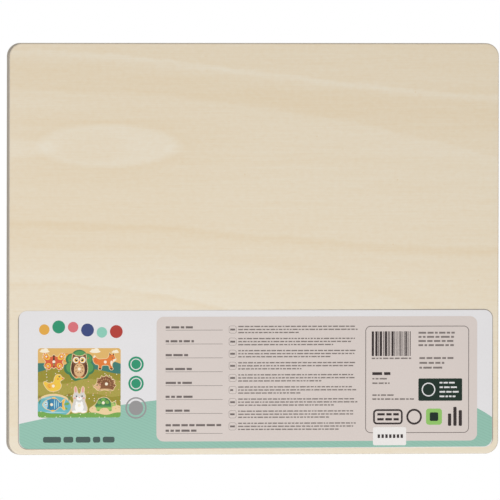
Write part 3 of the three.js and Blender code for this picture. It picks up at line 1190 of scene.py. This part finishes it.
def make_backing():
    """The thin back layer, with the pale prints that show when an animal is lifted out."""
    wood = bpy.context.scene.puzzle_wood
    low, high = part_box("backing_board")
    mesh = bmesh.new()
    outline = board_outline("backing_board")
    lowest, highest = sanded_walls(mesh, [outline], low.z, high.z, wood.arris, wood.recess_arris)
    cap(mesh, lowest, upward=False)
    # The back's figure includes the painted sheen along its bottom edge.
    figure = (BACK_ISLANDS, BACK_LINES, BACK_SPECKS, BACK_RING_TONE)
    materials = [plywood("back_plywood", "backing_board", BACK_PLIES, *figure)]
    floors = {}
    for loop in top_loops("frame_board")[1:]:
        middle = sum(loop, Vector((0, 0))) / len(loop)
        floors[nearest_animal(middle)] = ring_at(mesh, smooth_loop(loop), high.z)
    cap(mesh, [highest[0], *floors.values()], upward=True)
    for animal, floor in floors.items():
        materials.append(animal_print(animal + "_recess_print", animal, wood.recess_fade))
        cap(mesh, [floor], upward=True, material=len(materials) - 1)
    finish_piece(mesh, "board_back", materials, "board", "backing_board")


def nearest_animal(point):
    """The animal whose middle is nearest to a point of the board."""
    return min(ANIMALS, key=lambda animal: (middle_of(animal + "_piece") - point).length)


def make_frame():
    """The thick front layer with its eight cut-outs and its printed landscape."""
    wood = bpy.context.scene.puzzle_wood
    low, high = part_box("frame_board")
    recesses = [smooth_loop(loop) for loop in top_loops("frame_board")[1:]]
    mesh = bmesh.new()
    loops = [board_outline("frame_board"), *recesses]
    lowest, highest = sanded_walls(mesh, loops, low.z, high.z, wood.recess_arris, wood.arris)
    cap(mesh, lowest, upward=False)
    cap(mesh, highest, upward=True, material=1)
    materials = [plywood("front_plywood", "frame_board", FRONT_PLIES), meadow_print()]
    finish_piece(mesh, "board_front", materials, "board", "frame_board")


def make_animal(animal):
    """One sawn animal with sanded arrises, a bare rim and its print."""
    wood = bpy.context.scene.puzzle_wood
    node = animal + "_piece"
    low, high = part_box(node)
    outline, hole = (smooth_loop(loop) for loop in top_loops(node))
    mesh = bmesh.new()
    arris = wood.animal_arris
    lowest, highest = sanded_walls(mesh, [outline, hole], low.z, high.z, arris, arris)
    rim = ring_at(mesh, inset_loop(outline, arris + wood.rim), high.z)
    wall(mesh, highest[0], rim)
    cap(mesh, lowest, upward=False)
    cap(mesh, [rim, highest[1]], upward=True, material=1)
    materials = [plywood(animal + "_plywood", node, FRONT_PLIES), animal_print(animal + "_print", animal)]
    finish_piece(mesh, animal + "_on_wood", materials, animal, node)


PEG_STEPS = 12
PEG_EASE = 0.3 * MM
PEG_FOOT = 0.2 * MM
PEG_TURN = 0.8
PEG_SMOOTHING = math.radians(40)


def peg_outline(animal):
    """Half a turned peg's outline from its stem's end to the last ring, its top's height and its place."""
    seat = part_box(animal + "_piece")[1].z
    low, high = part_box(animal + "_peg")
    axis = middle_of(animal + "_peg")
    corners = [vertex.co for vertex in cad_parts[animal + "_peg"].data.vertices]
    turned = [((corner.to_2d() - axis).length, corner.z - seat) for corner in corners]
    at_seat = [radius for radius, height in turned if abs(height) < LEVEL_TOLERANCE]
    stem = min(at_seat)
    foot = max(at_seat)
    head = max(radius for radius, _ in turned)
    girth = max(height for radius, height in turned if radius > head - LEVEL_TOLERANCE)
    waist = min(radius for radius, height in turned if PEG_FOOT < height < girth)
    hollow = 2 * waist - (foot + head) / 2
    start = low.z - seat
    top = high.z - seat
    points = [(stem - PEG_EASE, start), (stem, start + PEG_EASE), (stem, 0.0),
              (foot - PEG_EASE, 0.0), (foot, PEG_EASE)]
    for step in range(1, PEG_STEPS):
        t = step / PEG_STEPS
        radius = foot * (1 - t) ** 2 + 2 * hollow * t * (1 - t) + head * t ** 2
        points.append((radius, PEG_EASE + (girth - PEG_EASE) * t))
    for step in range(1, PEG_STEPS):
        turn = math.pi / 2 * step / PEG_STEPS
        points.append((head * math.cos(turn), girth + (top - girth) * math.sin(turn)))
    return points, top, Vector((axis.x, axis.y, seat))


def make_peg(animal, turn, material):
    """One turned peg, glued in its animal."""
    sides = bpy.context.scene.puzzle_pegs.sides
    points, top, place = peg_outline(animal)
    mesh = bmesh.new()
    rings = [ring_at(mesh, circle(0, 0, radius, sides), height) for radius, height in points]
    for lower, upper in zip(rings, rings[1:]):
        wall(mesh, lower, upper)
    cap(mesh, rings[:1], upward=False)
    crown = mesh.verts.new((0, 0, top))
    for side, corner in enumerate(rings[-1]):
        mesh.faces.new((corner, rings[-1][(side + 1) % sides], crown)).smooth = True
    spin = Matrix.Translation(place) @ Matrix.Rotation(turn, 4, "Z")
    piece = finish_piece(mesh, animal + "_knob", [material], animal, animal + "_peg", spin)
    piece.data.set_sharp_from_angle(angle=PEG_SMOOTHING)


BAND_LAYER, GROUND_LAYER, PRINT_LAYER, OVERPRINT_LAYER, TOP_LAYER = range(1, 6)
ROUND_SIDES = 36
BAR_LENGTHS = (1.4, 5.0)
BAR_GAP = 0.7


class Block(NamedTuple):
    """A block with round corners on the label, in millimetres, or a line round one."""

    ink: str
    layer: int
    left: float
    bottom: float
    right: float
    top: float
    corner: float
    line: float = 0.0

    def outline(self, inset=0.0):
        edges = (self.left + inset, self.bottom + inset, self.right - inset, self.top - inset)
        return rounded_oblong(*edges, self.corner - inset)


class Round(NamedTuple):
    """A disc on the label, in millimetres, or a line round one."""

    ink: str
    layer: int
    x: float
    y: float
    radius: float
    line: float = 0.0

    def outline(self, inset=0.0):
        return circle(self.x, self.y, self.radius - inset, ROUND_SIDES)


class Rows(NamedTuple):
    """Rows of short bars on the label, in millimetres; up to the cut is left off a row's right end."""

    ink: str
    layer: int
    left: float
    right: float
    top: float
    height: float
    count: int = 1
    pitch: float = 0.0
    cut: float = 0.0


class LabelPrint:
    """Thin closed patches of ink on the label, drawn in millimetres from its middle as seen from the back."""

    def __init__(self, node, tilt, colours):
        self.middle = middle_of(node)
        self.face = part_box(node)[0].z
        self.depth = bpy.context.scene.puzzle_label.ink_depth
        self.turn = Matrix.Rotation(tilt, 2)
        self.mesh = bmesh.new()
        self.colours = colours
        self.inks = {}

    def spot(self, point):
        """A point of the print as a place on the board."""
        return self.middle + self.turn @ Vector((-point[0], point[1])) * MM

    def ink(self, name):
        """The number of an ink among the print's materials."""
        if name not in self.inks:
            self.inks[name] = paper_print(name + "_ink", self.colours[name])
        return list(self.inks).index(name)

    def rings(self, outline, layer):
        outer = self.face - self.depth * layer
        points = [self.spot(point) for point in outline]
        return ring_at(self.mesh, points, outer), ring_at(self.mesh, points, outer + self.depth)

    def face_of(self, corners, ink):
        self.mesh.faces.new(corners).material_index = self.ink(ink)

    def sides(self, lower, upper, ink):
        for index, corner in enumerate(lower):
            after = (index + 1) % len(lower)
            self.face_of((corner, upper[index], upper[after], lower[after]), ink)

    def patch(self, outline, ink, layer):
        """A patch inside one outline."""
        outer, inner = self.rings(outline, layer)
        self.face_of(outer, ink)
        self.face_of(inner[::-1], ink)
        self.sides(outer, inner, ink)

    def mark(self, mark):
        """A block or a disc, or the line round one."""
        if not mark.line:
            self.patch(mark.outline(), mark.ink, mark.layer)
            return
        outer = self.rings(mark.outline(), mark.layer)
        inner = self.rings(mark.outline(mark.line), mark.layer)
        self.sides(outer[0], outer[1], mark.ink)
        self.sides(inner[1], inner[0], mark.ink)
        self.sides(inner[0], outer[0], mark.ink)
        self.sides(outer[1], inner[1], mark.ink)

    def rows(self, rows, dice):
        """Rows of short bars of uneven length."""
        half = rows.height / 2
        for row in range(rows.count):
            right = rows.right - (dice.uniform(0, rows.cut) if rows.cut else 0.0)
            middle = rows.top - rows.pitch * row
            start = rows.left
            while start < right - rows.height:
                end = min(right, start + rows.height * dice.uniform(*BAR_LENGTHS))
                self.patch(oblong(start, middle - half, end, middle + half), rows.ink, rows.layer)
                start = end + rows.height * BAR_GAP

    def finish(self, name, slot):
        bmesh.ops.recalc_face_normals(self.mesh, faces=self.mesh.faces)
        finish_piece(self.mesh, name, list(self.inks.values()), "board")


LABEL_INKS = {
    "navy": display(64, 76, 124),
    "green": display(52, 148, 112),
    "mint": display(142, 204, 184),
    "amber": display(226, 170, 76),
    "pink": display(216, 116, 122),
    "red": display(178, 66, 58),
    "white": display(226, 225, 225),
    "silver": display(152, 150, 150),
    "slate": display(76, 94, 90),
    "umber": display(116, 107, 104),
    "taupe": display(130, 121, 117),
    "soot": display(56, 48, 48),
    "pine": display(30, 46, 38),
    "lime": display(146, 196, 106),
    "rim": INKS["sand"],
    "peg": INKS["cream"],
}
LABEL_CORNER = 5.5
# Width of the painted shadow along the label's edge; the band is kept inside it.
EDGE_SHADOW_WIDTH = 0.7
EDGE_SHADOW_FADE = ((LABEL_CORNER - EDGE_SHADOW_WIDTH) * MM, (LABEL_CORNER - EDGE_SHADOW_WIDTH / 2) * MM)


def paper_with_edge_shadow(sheet, spot):
    """The label's paper, with a painted shadow as a thin grey line along its edge."""
    label = bpy.context.scene.puzzle_label
    low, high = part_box("product_label")
    inner = (high - low) / 2 - Vector((LABEL_CORNER, LABEL_CORNER, 0)) * MM
    away = sheet.vector("ABSOLUTE", scaled_spot(sheet, spot, middle_of("product_label"), 1.0, 1.0))
    past = sheet.vector("MAXIMUM", sheet.vector("SUBTRACT", away, (inner.x, inner.y, 0)))
    return sheet.mix(sheet.ramp(sheet.length(past), *EDGE_SHADOW_FADE), label.paper, label.edge_shadow)


BAND_SLANT = -0.42
BAND_WANDER = Noise((14.0, 14.0, 0.0), 6 * MM)
BAND_LINE_PITCH = 0.9 * MM
BAND_LINE_EDGE = (0.35 * MM, 0.1 * MM)
BAND_LINE_DARKNESS = 0.07
BAND_CREST = (30.0, -7.3)
BAND_LEFT_FALL = (19.0, 175.0, 2)
BAND_RIGHT_FALL = (16.4, 115.0, 5)
BAND_STEPS = 60


def lined_band(sheet, spot):
    """The band's colour with fine slanting lines in a slightly deeper tone."""
    band = bpy.context.scene.puzzle_label.band
    xyz = sheet.parts(spot)
    slant = sheet.scaled(xyz["X"], BAND_SLANT, xyz["Y"])
    bent = sheet.scaled(sheet.swing(spot, BAND_WANDER), BAND_WANDER.weight, slant)
    line = sheet.ramp(sheet.math("PINGPONG", bent, BAND_LINE_PITCH), *BAND_LINE_EDGE)
    return sheet.mix(sheet.math("MULTIPLY", line, BAND_LINE_DARKNESS), band, BLACK)


def band_height(x):
    """Height of the band's top, which rises behind the panel and falls to both ends."""
    along = x - BAND_CREST[0]
    fall, reach, power = BAND_LEFT_FALL if along < 0 else BAND_RIGHT_FALL
    return BAND_CREST[1] - fall * (along / reach) ** power


def band_outline(half_wide, half_high):
    """The curved band along the label's foot, which follows its round corners."""
    places = [half_wide * (2 * step / BAND_STEPS - 1) for step in range(BAND_STEPS + 1)]
    outline = [(x, band_height(x)) for x in places]
    foot = rounded_oblong(-half_wide, -half_high, half_wide, half_high, LABEL_CORNER)
    corners = [point for point in foot if point.y < -half_high + LABEL_CORNER]
    right = sorted((point for point in corners if point.x > 0), key=lambda point: -point.y)
    left = sorted((point for point in corners if point.x < 0), key=lambda point: point.y)
    return outline + right + left


PANEL = Block("panel", GROUND_LAYER, -61.4, -37.9, 135.3, 37.3, 4.4)


def make_label():
    """The paper label's own material and everything printed on it."""
    label = bpy.context.scene.puzzle_label
    low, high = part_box("product_label")
    set_material("product_label", paper_print("label_paper", paper_with_edge_shadow))
    colours = {**LABEL_INKS, "band": lined_band, "panel": label.panel}
    printing = LabelPrint("product_label", label.tilt, colours)
    half_wide = (high.x - low.x) / 2 / MM - EDGE_SHADOW_WIDTH
    half_high = (high.y - low.y) / 2 / MM - EDGE_SHADOW_WIDTH
    printing.patch(band_outline(half_wide, half_high), "band", BAND_LAYER)
    printing.turn = Matrix.Rotation(label.tilt + label.print_turn, 2)
    printing.middle += Vector(label.print_shift)
    printing.mark(PANEL)
    print_front_picture(printing)
    print_marks(printing)
    print_panel(printing)
    print_box(printing)
    printing.finish("label_print", "label_paper")


PICTURE = Block("picture", GROUND_LAYER, -133.9, -23.3, -83.3, 18.5, 1.7)
PICTURE_RIM = 2.2 * MM
PICTURE_PEG = 0.9
PICTURE_PEG_SIDES = 20


def print_front_picture(printing):
    """A small picture of the board's own front."""
    half = (PICTURE.right - PICTURE.left) / 2 * MM
    scale = half / half_width("frame_board")
    middle = Vector(((PICTURE.left + PICTURE.right) / 2, (PICTURE.bottom + PICTURE.top) / 2))
    printing.colours["picture"] = meadow(printing.spot(middle), -half, half)
    printing.mark(PICTURE)
    for animal in ANIMALS:
        node = animal + "_piece"
        own_centre = printing.spot(middle + middle_of(node) * scale / MM)
        own_half = half_width(node) * scale
        printing.colours[animal] = animal_picture(animal, own_centre, -own_half, own_half)
        loop = top_loops(node)[0]
        for inset, ink, layer in ((0.0, "rim", PRINT_LAYER), (PICTURE_RIM, animal, OVERPRINT_LAYER)):
            printing.patch([middle + point * scale / MM for point in inset_loop(loop, inset)], ink, layer)
        peg = middle + middle_of(animal + "_peg") * scale / MM
        printing.patch(circle(peg.x, peg.y, PICTURE_PEG, PICTURE_PEG_SIDES), "peg", TOP_LAYER)


BEADS = ("amber", "green", "pink", "navy", "mint", "red")
BEADS_START = (-130.0, 29.7)
BEAD_PITCH = 8.8
BEAD_SWAY = 1.8
BEAD_PHASE = 1.1
BEAD_RADII = (3.2, 3.9)
SIDE_MARKS = (
    Round("green", GROUND_LAYER, -73.9, 8.7, 4.7),
    Round("white", PRINT_LAYER, -73.9, 8.7, 3.5, 0.6),
    Round("green", GROUND_LAYER, -73.9, -2.9, 4.7),
    Round("white", PRINT_LAYER, -73.9, -2.9, 3.5, 0.6),
    Round("silver", GROUND_LAYER, -73.9, -17.6, 6.5, 0.9),
    Round("silver", GROUND_LAYER, -73.9, -17.6, 4.4),
)
BLOCK_SPANS = ((-130.7, 11.0), (-118.2, 6.0), (-110.7, 9.0), (-100.2, 4.5), (-94.2, 7.2))
BLOCKS_BOTTOM = -38.4
BLOCKS_TOP = -34.9
BLOCK_CORNER = 1.2


def print_marks(printing):
    """Coloured beads over the picture, discs beside it and blocks under it."""
    for index, bead in enumerate(BEADS):
        x = BEADS_START[0] + BEAD_PITCH * index
        y = BEADS_START[1] + BEAD_SWAY * math.sin(BEAD_PHASE * index)
        printing.mark(Round(bead, GROUND_LAYER, x, y, BEAD_RADII[index % 2]))
    for mark in SIDE_MARKS:
        printing.mark(mark)
    for left, width in BLOCK_SPANS:
        printing.mark(Block(
            "slate", GROUND_LAYER, left, BLOCKS_BOTTOM, left + width, BLOCKS_TOP, BLOCK_CORNER))


PANEL_SEED = 7
RULES = [29.2 - 8.37 * row for row in range(7)] + [-33.1]
RULE_LEFT = -55.8
RULE_RIGHT = -20.9
RULE_HALF = 0.13
ENTRY_LENGTHS = (14.0, 23.0)
ENTRY_LIFT = 1.7
LAST_ENTRY_LIFT = 5.0
ENTRY_HEIGHT = 1.3
GROUP_LEVELS = [29.5 - 7.3 * row for row in range(9)]
TAB_LEFT = -17.1
TAB_RIGHT = -12.5
TAB_HALF = 2.3
TAB_CORNER = 1.2
TAB_LINE = 0.2
TAB_MARGIN = 0.8
TAB_BAR = 1.1
TEXT_LEFT = -11.4
TEXT_RIGHT = 62.0
TEXT_PITCH = 1.84
TEXT_HEIGHT = 0.75
TEXT_CUTS = ((0.0, 3.0), (0.0, 3.0), (8.0, 40.0))


def print_panel(printing):
    """Ruled lines, small boxes and groups of plain bars on the large panel."""
    dice = random.Random(PANEL_SEED)

    def bars(ink, left, right, level, height):
        printing.rows(Rows(ink, PRINT_LAYER, left, right, level, height), dice)

    for rule in RULES:
        line = oblong(RULE_LEFT, rule - RULE_HALF, RULE_RIGHT, rule + RULE_HALF)
        printing.patch(line, "taupe", PRINT_LAYER)
        end = RULE_LEFT + dice.uniform(*ENTRY_LENGTHS)
        bars("umber", RULE_LEFT, end, rule + ENTRY_LIFT, ENTRY_HEIGHT)
    bars("umber", RULE_LEFT, RULE_RIGHT, RULES[-1] + LAST_ENTRY_LIFT, ENTRY_HEIGHT)
    for y in GROUP_LEVELS:
        edges = (TAB_LEFT, y - TAB_HALF, TAB_RIGHT, y + TAB_HALF)
        printing.mark(Block("taupe", PRINT_LAYER, *edges, TAB_CORNER, TAB_LINE))
        bars("umber", TAB_LEFT + TAB_MARGIN, TAB_RIGHT - TAB_MARGIN, y, TAB_BAR)
        for line, cut in enumerate(TEXT_CUTS):
            end = TEXT_RIGHT - dice.uniform(*cut)
            bars("taupe", TEXT_LEFT, end, y + TEXT_PITCH * (1 - line), TEXT_HEIGHT)


BOX_SEED = 11
BOX = Block("umber", PRINT_LAYER, 66.6, -33.2, 130.3, 31.5, 3.2, 0.42)
STRIPES_LEFT = 70.5
STRIPES_RIGHT = 95.0
STRIPES_BOTTOM = 13.3
STRIPES_TOP = 28.2
STRIPE_WIDTHS = (0.5, 0.5, 1.0, 1.4)
STRIPE_GAPS = (0.4, 0.45, 0.8)
BOX_ROWS = (
    Rows("taupe", PRINT_LAYER, 70.5, 95.5, 11.9, 0.9),
    Rows("taupe", PRINT_LAYER, 99.2, 124.0, 27.3, 1.15, 4, 2.5, 9.0),
    Rows("taupe", PRINT_LAYER, 99.8, 122.0, 12.0, 1.15, 3, 2.9, 7.0),
    Rows("soot", PRINT_LAYER, 70.9, 82.0, 2.7, 1.7),
    Rows("taupe", PRINT_LAYER, 70.9, 81.0, -0.4, 0.9),
    Rows("taupe", PRINT_LAYER, 70.9, 81.5, -3.1, 0.9),
    Rows("taupe", PRINT_LAYER, 70.9, 84.0, -10.3, 0.9),
    Rows("taupe", PRINT_LAYER, 70.9, 96.5, -12.7, 0.9),
    Rows("white", OVERPRINT_LAYER, 112.2, 124.4, -2.9, 0.95, 4, 2.75, 3.0),
    Rows("soot", PRINT_LAYER, 74.0, 87.2, -21.9, 1.4, 2, 3.0),
)
BOX_MARKS = (
    Block("pine", PRINT_LAYER, 99.2, -13.8, 126.1, -0.3, 0.7),
    Round("white", OVERPRINT_LAYER, 105.4, -7.0, 4.2, 0.7),
    Block("soot", PRINT_LAYER, 71.4, -28.0, 89.6, -18.8, 2.4, 1.1),
    Round("soot", PRINT_LAYER, 96.6, -23.4, 4.8, 1.2),
    Block("lime", PRINT_LAYER, 103.9, -28.3, 113.7, -18.5, 1.8),
    Block("pine", OVERPRINT_LAYER, 106.2, -26.0, 111.4, -20.8, 0.9),
    Block("soot", PRINT_LAYER, 117.4, -29.0, 119.4, -21.5, 0.6),
    Block("soot", PRINT_LAYER, 120.7, -29.0, 122.7, -17.5, 0.6),
    Block("soot", PRINT_LAYER, 124.0, -29.0, 126.0, -19.5, 0.6),
)


def print_box(printing):
    """A line box with plain stripes, bars, a dark block and a row of plain marks."""
    dice = random.Random(BOX_SEED)
    printing.mark(BOX)
    left = STRIPES_LEFT
    while left < STRIPES_RIGHT:
        right = left + dice.choice(STRIPE_WIDTHS)
        printing.patch(oblong(left, STRIPES_BOTTOM, right, STRIPES_TOP), "soot", PRINT_LAYER)
        left = right + dice.choice(STRIPE_GAPS)
    for rows in BOX_ROWS:
        printing.rows(rows, dice)
    for mark in BOX_MARKS:
        printing.mark(mark)


STICKER_BARS = 7
STICKER_PITCH = 2.35 * MM
STICKER_BAR_HEIGHT = 2.2 * MM
STICKER_BAR_SHARE = 0.62


def barred_sticker(sheet, spot):
    """The sticker's paper with a row of plain bars."""
    half_row = STICKER_BARS / 2
    middle = middle_of("lot_sticker")
    local = sheet.parts(scaled_spot(sheet, spot, middle, STICKER_PITCH, STICKER_BAR_HEIGHT))
    along = sheet.math("FRACT", sheet.math("ADD", local["X"], half_row))
    bar = sheet.math("LESS_THAN", along, STICKER_BAR_SHARE)
    inside = sheet.math("LESS_THAN", sheet.math("ABSOLUTE", local["X"]), half_row)
    row = sheet.math("LESS_THAN", sheet.math("ABSOLUTE", local["Y"]), 0.5)
    shown = sheet.math("MULTIPLY", sheet.math("MULTIPLY", bar, inside), row)
    return sheet.mix(shown, bpy.context.scene.puzzle_label.sticker, LABEL_INKS["soot"])


def make_sticker():
    """The small sticker on the label."""
    set_material("lot_sticker", paper_print("sticker_paper", barred_sticker))


def set_material(node, material):
    """Gives a CAD node that stays a material of its own."""
    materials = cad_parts[node].data.materials
    materials.clear()
    materials.append(material)


FLOOR_ROUGHNESS = 0.9
FLOOR_FADE = (0.35, 1.6)
FLOOR_RADIUS = 14.0
FLOOR_SIDES = 96
FLOOR_LEVEL = -0.5 * MM
BACK_LAMP = (0.25, -0.7, -1.4)
BACK_LAMP_SIZE = 1.2
FRONT_LAMP = (-0.9, -0.8, 1.5)
FRONT_LAMP_SIZE = 1.0
SENSOR_WIDTH = 36.0
NEAREST_SEEN = 0.1
FARTHEST_SEEN = 100.0


def add_lamp(name, place, size, power):
    """A square soft lamp that points at the board."""
    light = bpy.data.lights.new(name, "AREA")
    light.size = size
    light.energy = power
    lamp = bpy.data.objects.new(name, light)
    lamp.location = place
    lamp.rotation_euler = (-Vector(place)).to_track_quat("-Z", "Y").to_euler()
    bpy.context.scene.collection.objects.link(lamp)


def seen_share(sheet):
    """One where a ray shows the surface, nought where it only gathers light."""
    path = sheet.node("ShaderNodeLightPath").outputs
    seen = sheet.math("MAXIMUM", path["Is Camera Ray"], path["Is Glossy Ray"])
    return sheet.math("MAXIMUM", seen, path["Is Transmission Ray"])


def floor_material(stage):
    """Pale ground that turns to the background's white away from the board, and that is clear from below."""
    material, sheet, shader, spot = new_material("pale_floor")
    shader.inputs["Base Color"].default_value = stage.floor
    shader.inputs["Roughness"].default_value = FLOOR_ROUGHNESS
    far = sheet.ramp(sheet.length(spot), *FLOOR_FADE)
    white = sheet.scaled(far, 1.0 - stage.floor_glow, stage.floor_glow)
    share = sheet.math("MULTIPLY", white, seen_share(sheet))
    glow = sheet.node("ShaderNodeEmission", {"Color": WHITE, "Strength": 1.0}).outputs[0]
    ground = sheet.node("ShaderNodeMixShader", {0: share, 1: shader.outputs[0], 2: glow}).outputs[0]
    under = sheet.node("ShaderNodeNewGeometry").outputs["Backfacing"]
    clear = sheet.node("ShaderNodeBsdfTransparent").outputs[0]
    both = sheet.node("ShaderNodeMixShader", {0: under, 1: ground, 2: clear}).outputs[0]
    sheet.feed(material.node_tree.nodes["Material Output"].inputs["Surface"], both)
    return material


def make_floor(stage):
    """A wide floor just under the board, which throws no light or shade on the board's back."""
    mesh = bmesh.new()
    bmesh.ops.create_circle(mesh, cap_ends=True, segments=FLOOR_SIDES, radius=FLOOR_RADIUS)
    data = bpy.data.meshes.new("floor")
    mesh.to_mesh(data)
    mesh.free()
    data.materials.append(floor_material(stage))
    floor = bpy.data.objects.new("floor", data)
    floor.location.z = FLOOR_LEVEL
    floor.visible_diffuse = False
    floor.visible_glossy = False
    floor.visible_transmission = False
    floor.visible_shadow = False
    bpy.context.scene.collection.objects.link(floor)


def make_world(stage):
    """A white background with even room light."""
    world = bpy.data.worlds.new("room")
    world.use_nodes = True
    sheet = Sheet(world.node_tree)
    background = world.node_tree.nodes["Background"]
    background.inputs["Color"].default_value = WHITE
    strength = sheet.scaled(seen_share(sheet), 1.0 - stage.room_light, stage.room_light)
    sheet.feed(background.inputs["Strength"], strength)
    bpy.context.scene.world = world


def make_camera(stage):
    """A camera under the board that looks up at its back from far away."""
    data = bpy.data.cameras.new("camera")
    data.sensor_width = SENSOR_WIDTH
    data.lens = SENSOR_WIDTH * stage.distance / stage.view_width
    data.clip_start = NEAREST_SEEN
    data.clip_end = FARTHEST_SEEN
    camera = bpy.data.objects.new("camera", data)
    level = math.cos(stage.pitch)
    outward = Vector((math.sin(stage.yaw) * level, math.sin(stage.pitch), -math.cos(stage.yaw) * level))
    right = Vector((0, 1, 0)).cross(outward).normalized()
    axes = Matrix((right, outward.cross(right), outward)).transposed().to_4x4()
    place = Matrix.Translation(Vector(stage.aim) + outward * stage.distance)
    camera.matrix_world = place @ axes @ Matrix.Rotation(stage.roll, 4, "Z")
    bpy.context.scene.collection.objects.link(camera)
    bpy.context.scene.camera = camera


class PUZZLE_OT_stage(bpy.types.Operator):
    """Set up the floor, the light and the camera"""

    bl_idname = "puzzle.stage"
    bl_label = "Stage"

    def execute(self, context):
        stage = context.scene.puzzle_stage
        context.scene.view_settings.view_transform = "Standard"
        make_camera(stage)
        make_floor(stage)
        make_world(stage)
        add_lamp("back_lamp", BACK_LAMP, BACK_LAMP_SIZE, stage.back_light)
        add_lamp("front_lamp", FRONT_LAMP, FRONT_LAMP_SIZE, stage.front_light)
        return {"FINISHED"}


class PUZZLE_OT_boards(bpy.types.Operator):
    """Make the two plywood layers of the board"""

    bl_idname = "puzzle.boards"
    bl_label = "Boards"

    def execute(self, context):
        make_backing()
        make_frame()
        return {"FINISHED"}


class PUZZLE_OT_animals(bpy.types.Operator):
    """Make the eight animals"""

    bl_idname = "puzzle.animals"
    bl_label = "Animals"

    def execute(self, context):
        for animal in ANIMALS:
            make_animal(animal)
        return {"FINISHED"}


class PUZZLE_OT_pegs(bpy.types.Operator):
    """Make the eight turned pegs"""

    bl_idname = "puzzle.pegs"
    bl_label = "Pegs"

    def execute(self, context):
        material = peg_wood()
        for index, animal in enumerate(ANIMALS):
            make_peg(animal, PEG_TURN * index, material)
        return {"FINISHED"}


class PUZZLE_OT_label(bpy.types.Operator):
    """Print the paper label"""

    bl_idname = "puzzle.label"
    bl_label = "Label"

    def execute(self, context):
        make_label()
        return {"FINISHED"}


class PUZZLE_OT_sticker(bpy.types.Operator):
    """Make the small sticker on the label"""

    bl_idname = "puzzle.sticker"
    bl_label = "Sticker"

    def execute(self, context):
        make_sticker()
        return {"FINISHED"}


OPERATORS = (
    PUZZLE_OT_stage,
    PUZZLE_OT_boards,
    PUZZLE_OT_animals,
    PUZZLE_OT_pegs,
    PUZZLE_OT_label,
    PUZZLE_OT_sticker,
)
SETTINGS = {
    "puzzle_wood": WoodSettings,
    "puzzle_pegs": PegSettings,
    "puzzle_label": LabelSettings,
    "puzzle_stage": StageSettings,
}


class PUZZLE_PT_panel(bpy.types.Panel):
    """Settings and steps of the puzzle"""

    bl_idname = "PUZZLE_PT_panel"
    bl_label = "Wooden animal puzzle"
    bl_space_type = "VIEW_3D"
    bl_region_type = "UI"
    bl_category = "Puzzle"

    def draw(self, context):
        for name, group in SETTINGS.items():
            box = self.layout.box()
            for setting in group.__annotations__:
                box.prop(getattr(context.scene, name), setting)
        for operator in OPERATORS:
            self.layout.operator(operator.bl_idname)


def register():
    for name, group in SETTINGS.items():
        bpy.utils.register_class(group)
        setattr(bpy.types.Scene, name, bpy.props.PointerProperty(type=group))
    for operator in OPERATORS:
        bpy.utils.register_class(operator)
    bpy.utils.register_class(PUZZLE_PT_panel)


def unregister():
    bpy.utils.unregister_class(PUZZLE_PT_panel)
    for operator in reversed(OPERATORS):
        bpy.utils.unregister_class(operator)
    for name, group in reversed(SETTINGS.items()):
        delattr(bpy.types.Scene, name)
        bpy.utils.unregister_class(group)


def main():
    register()
    bpy.ops.puzzle.stage()
    bpy.ops.puzzle.boards()
    bpy.ops.puzzle.animals()
    bpy.ops.puzzle.pegs()
    bpy.ops.puzzle.label()
    bpy.ops.puzzle.sticker()


if __name__ == "__main__":
    main()
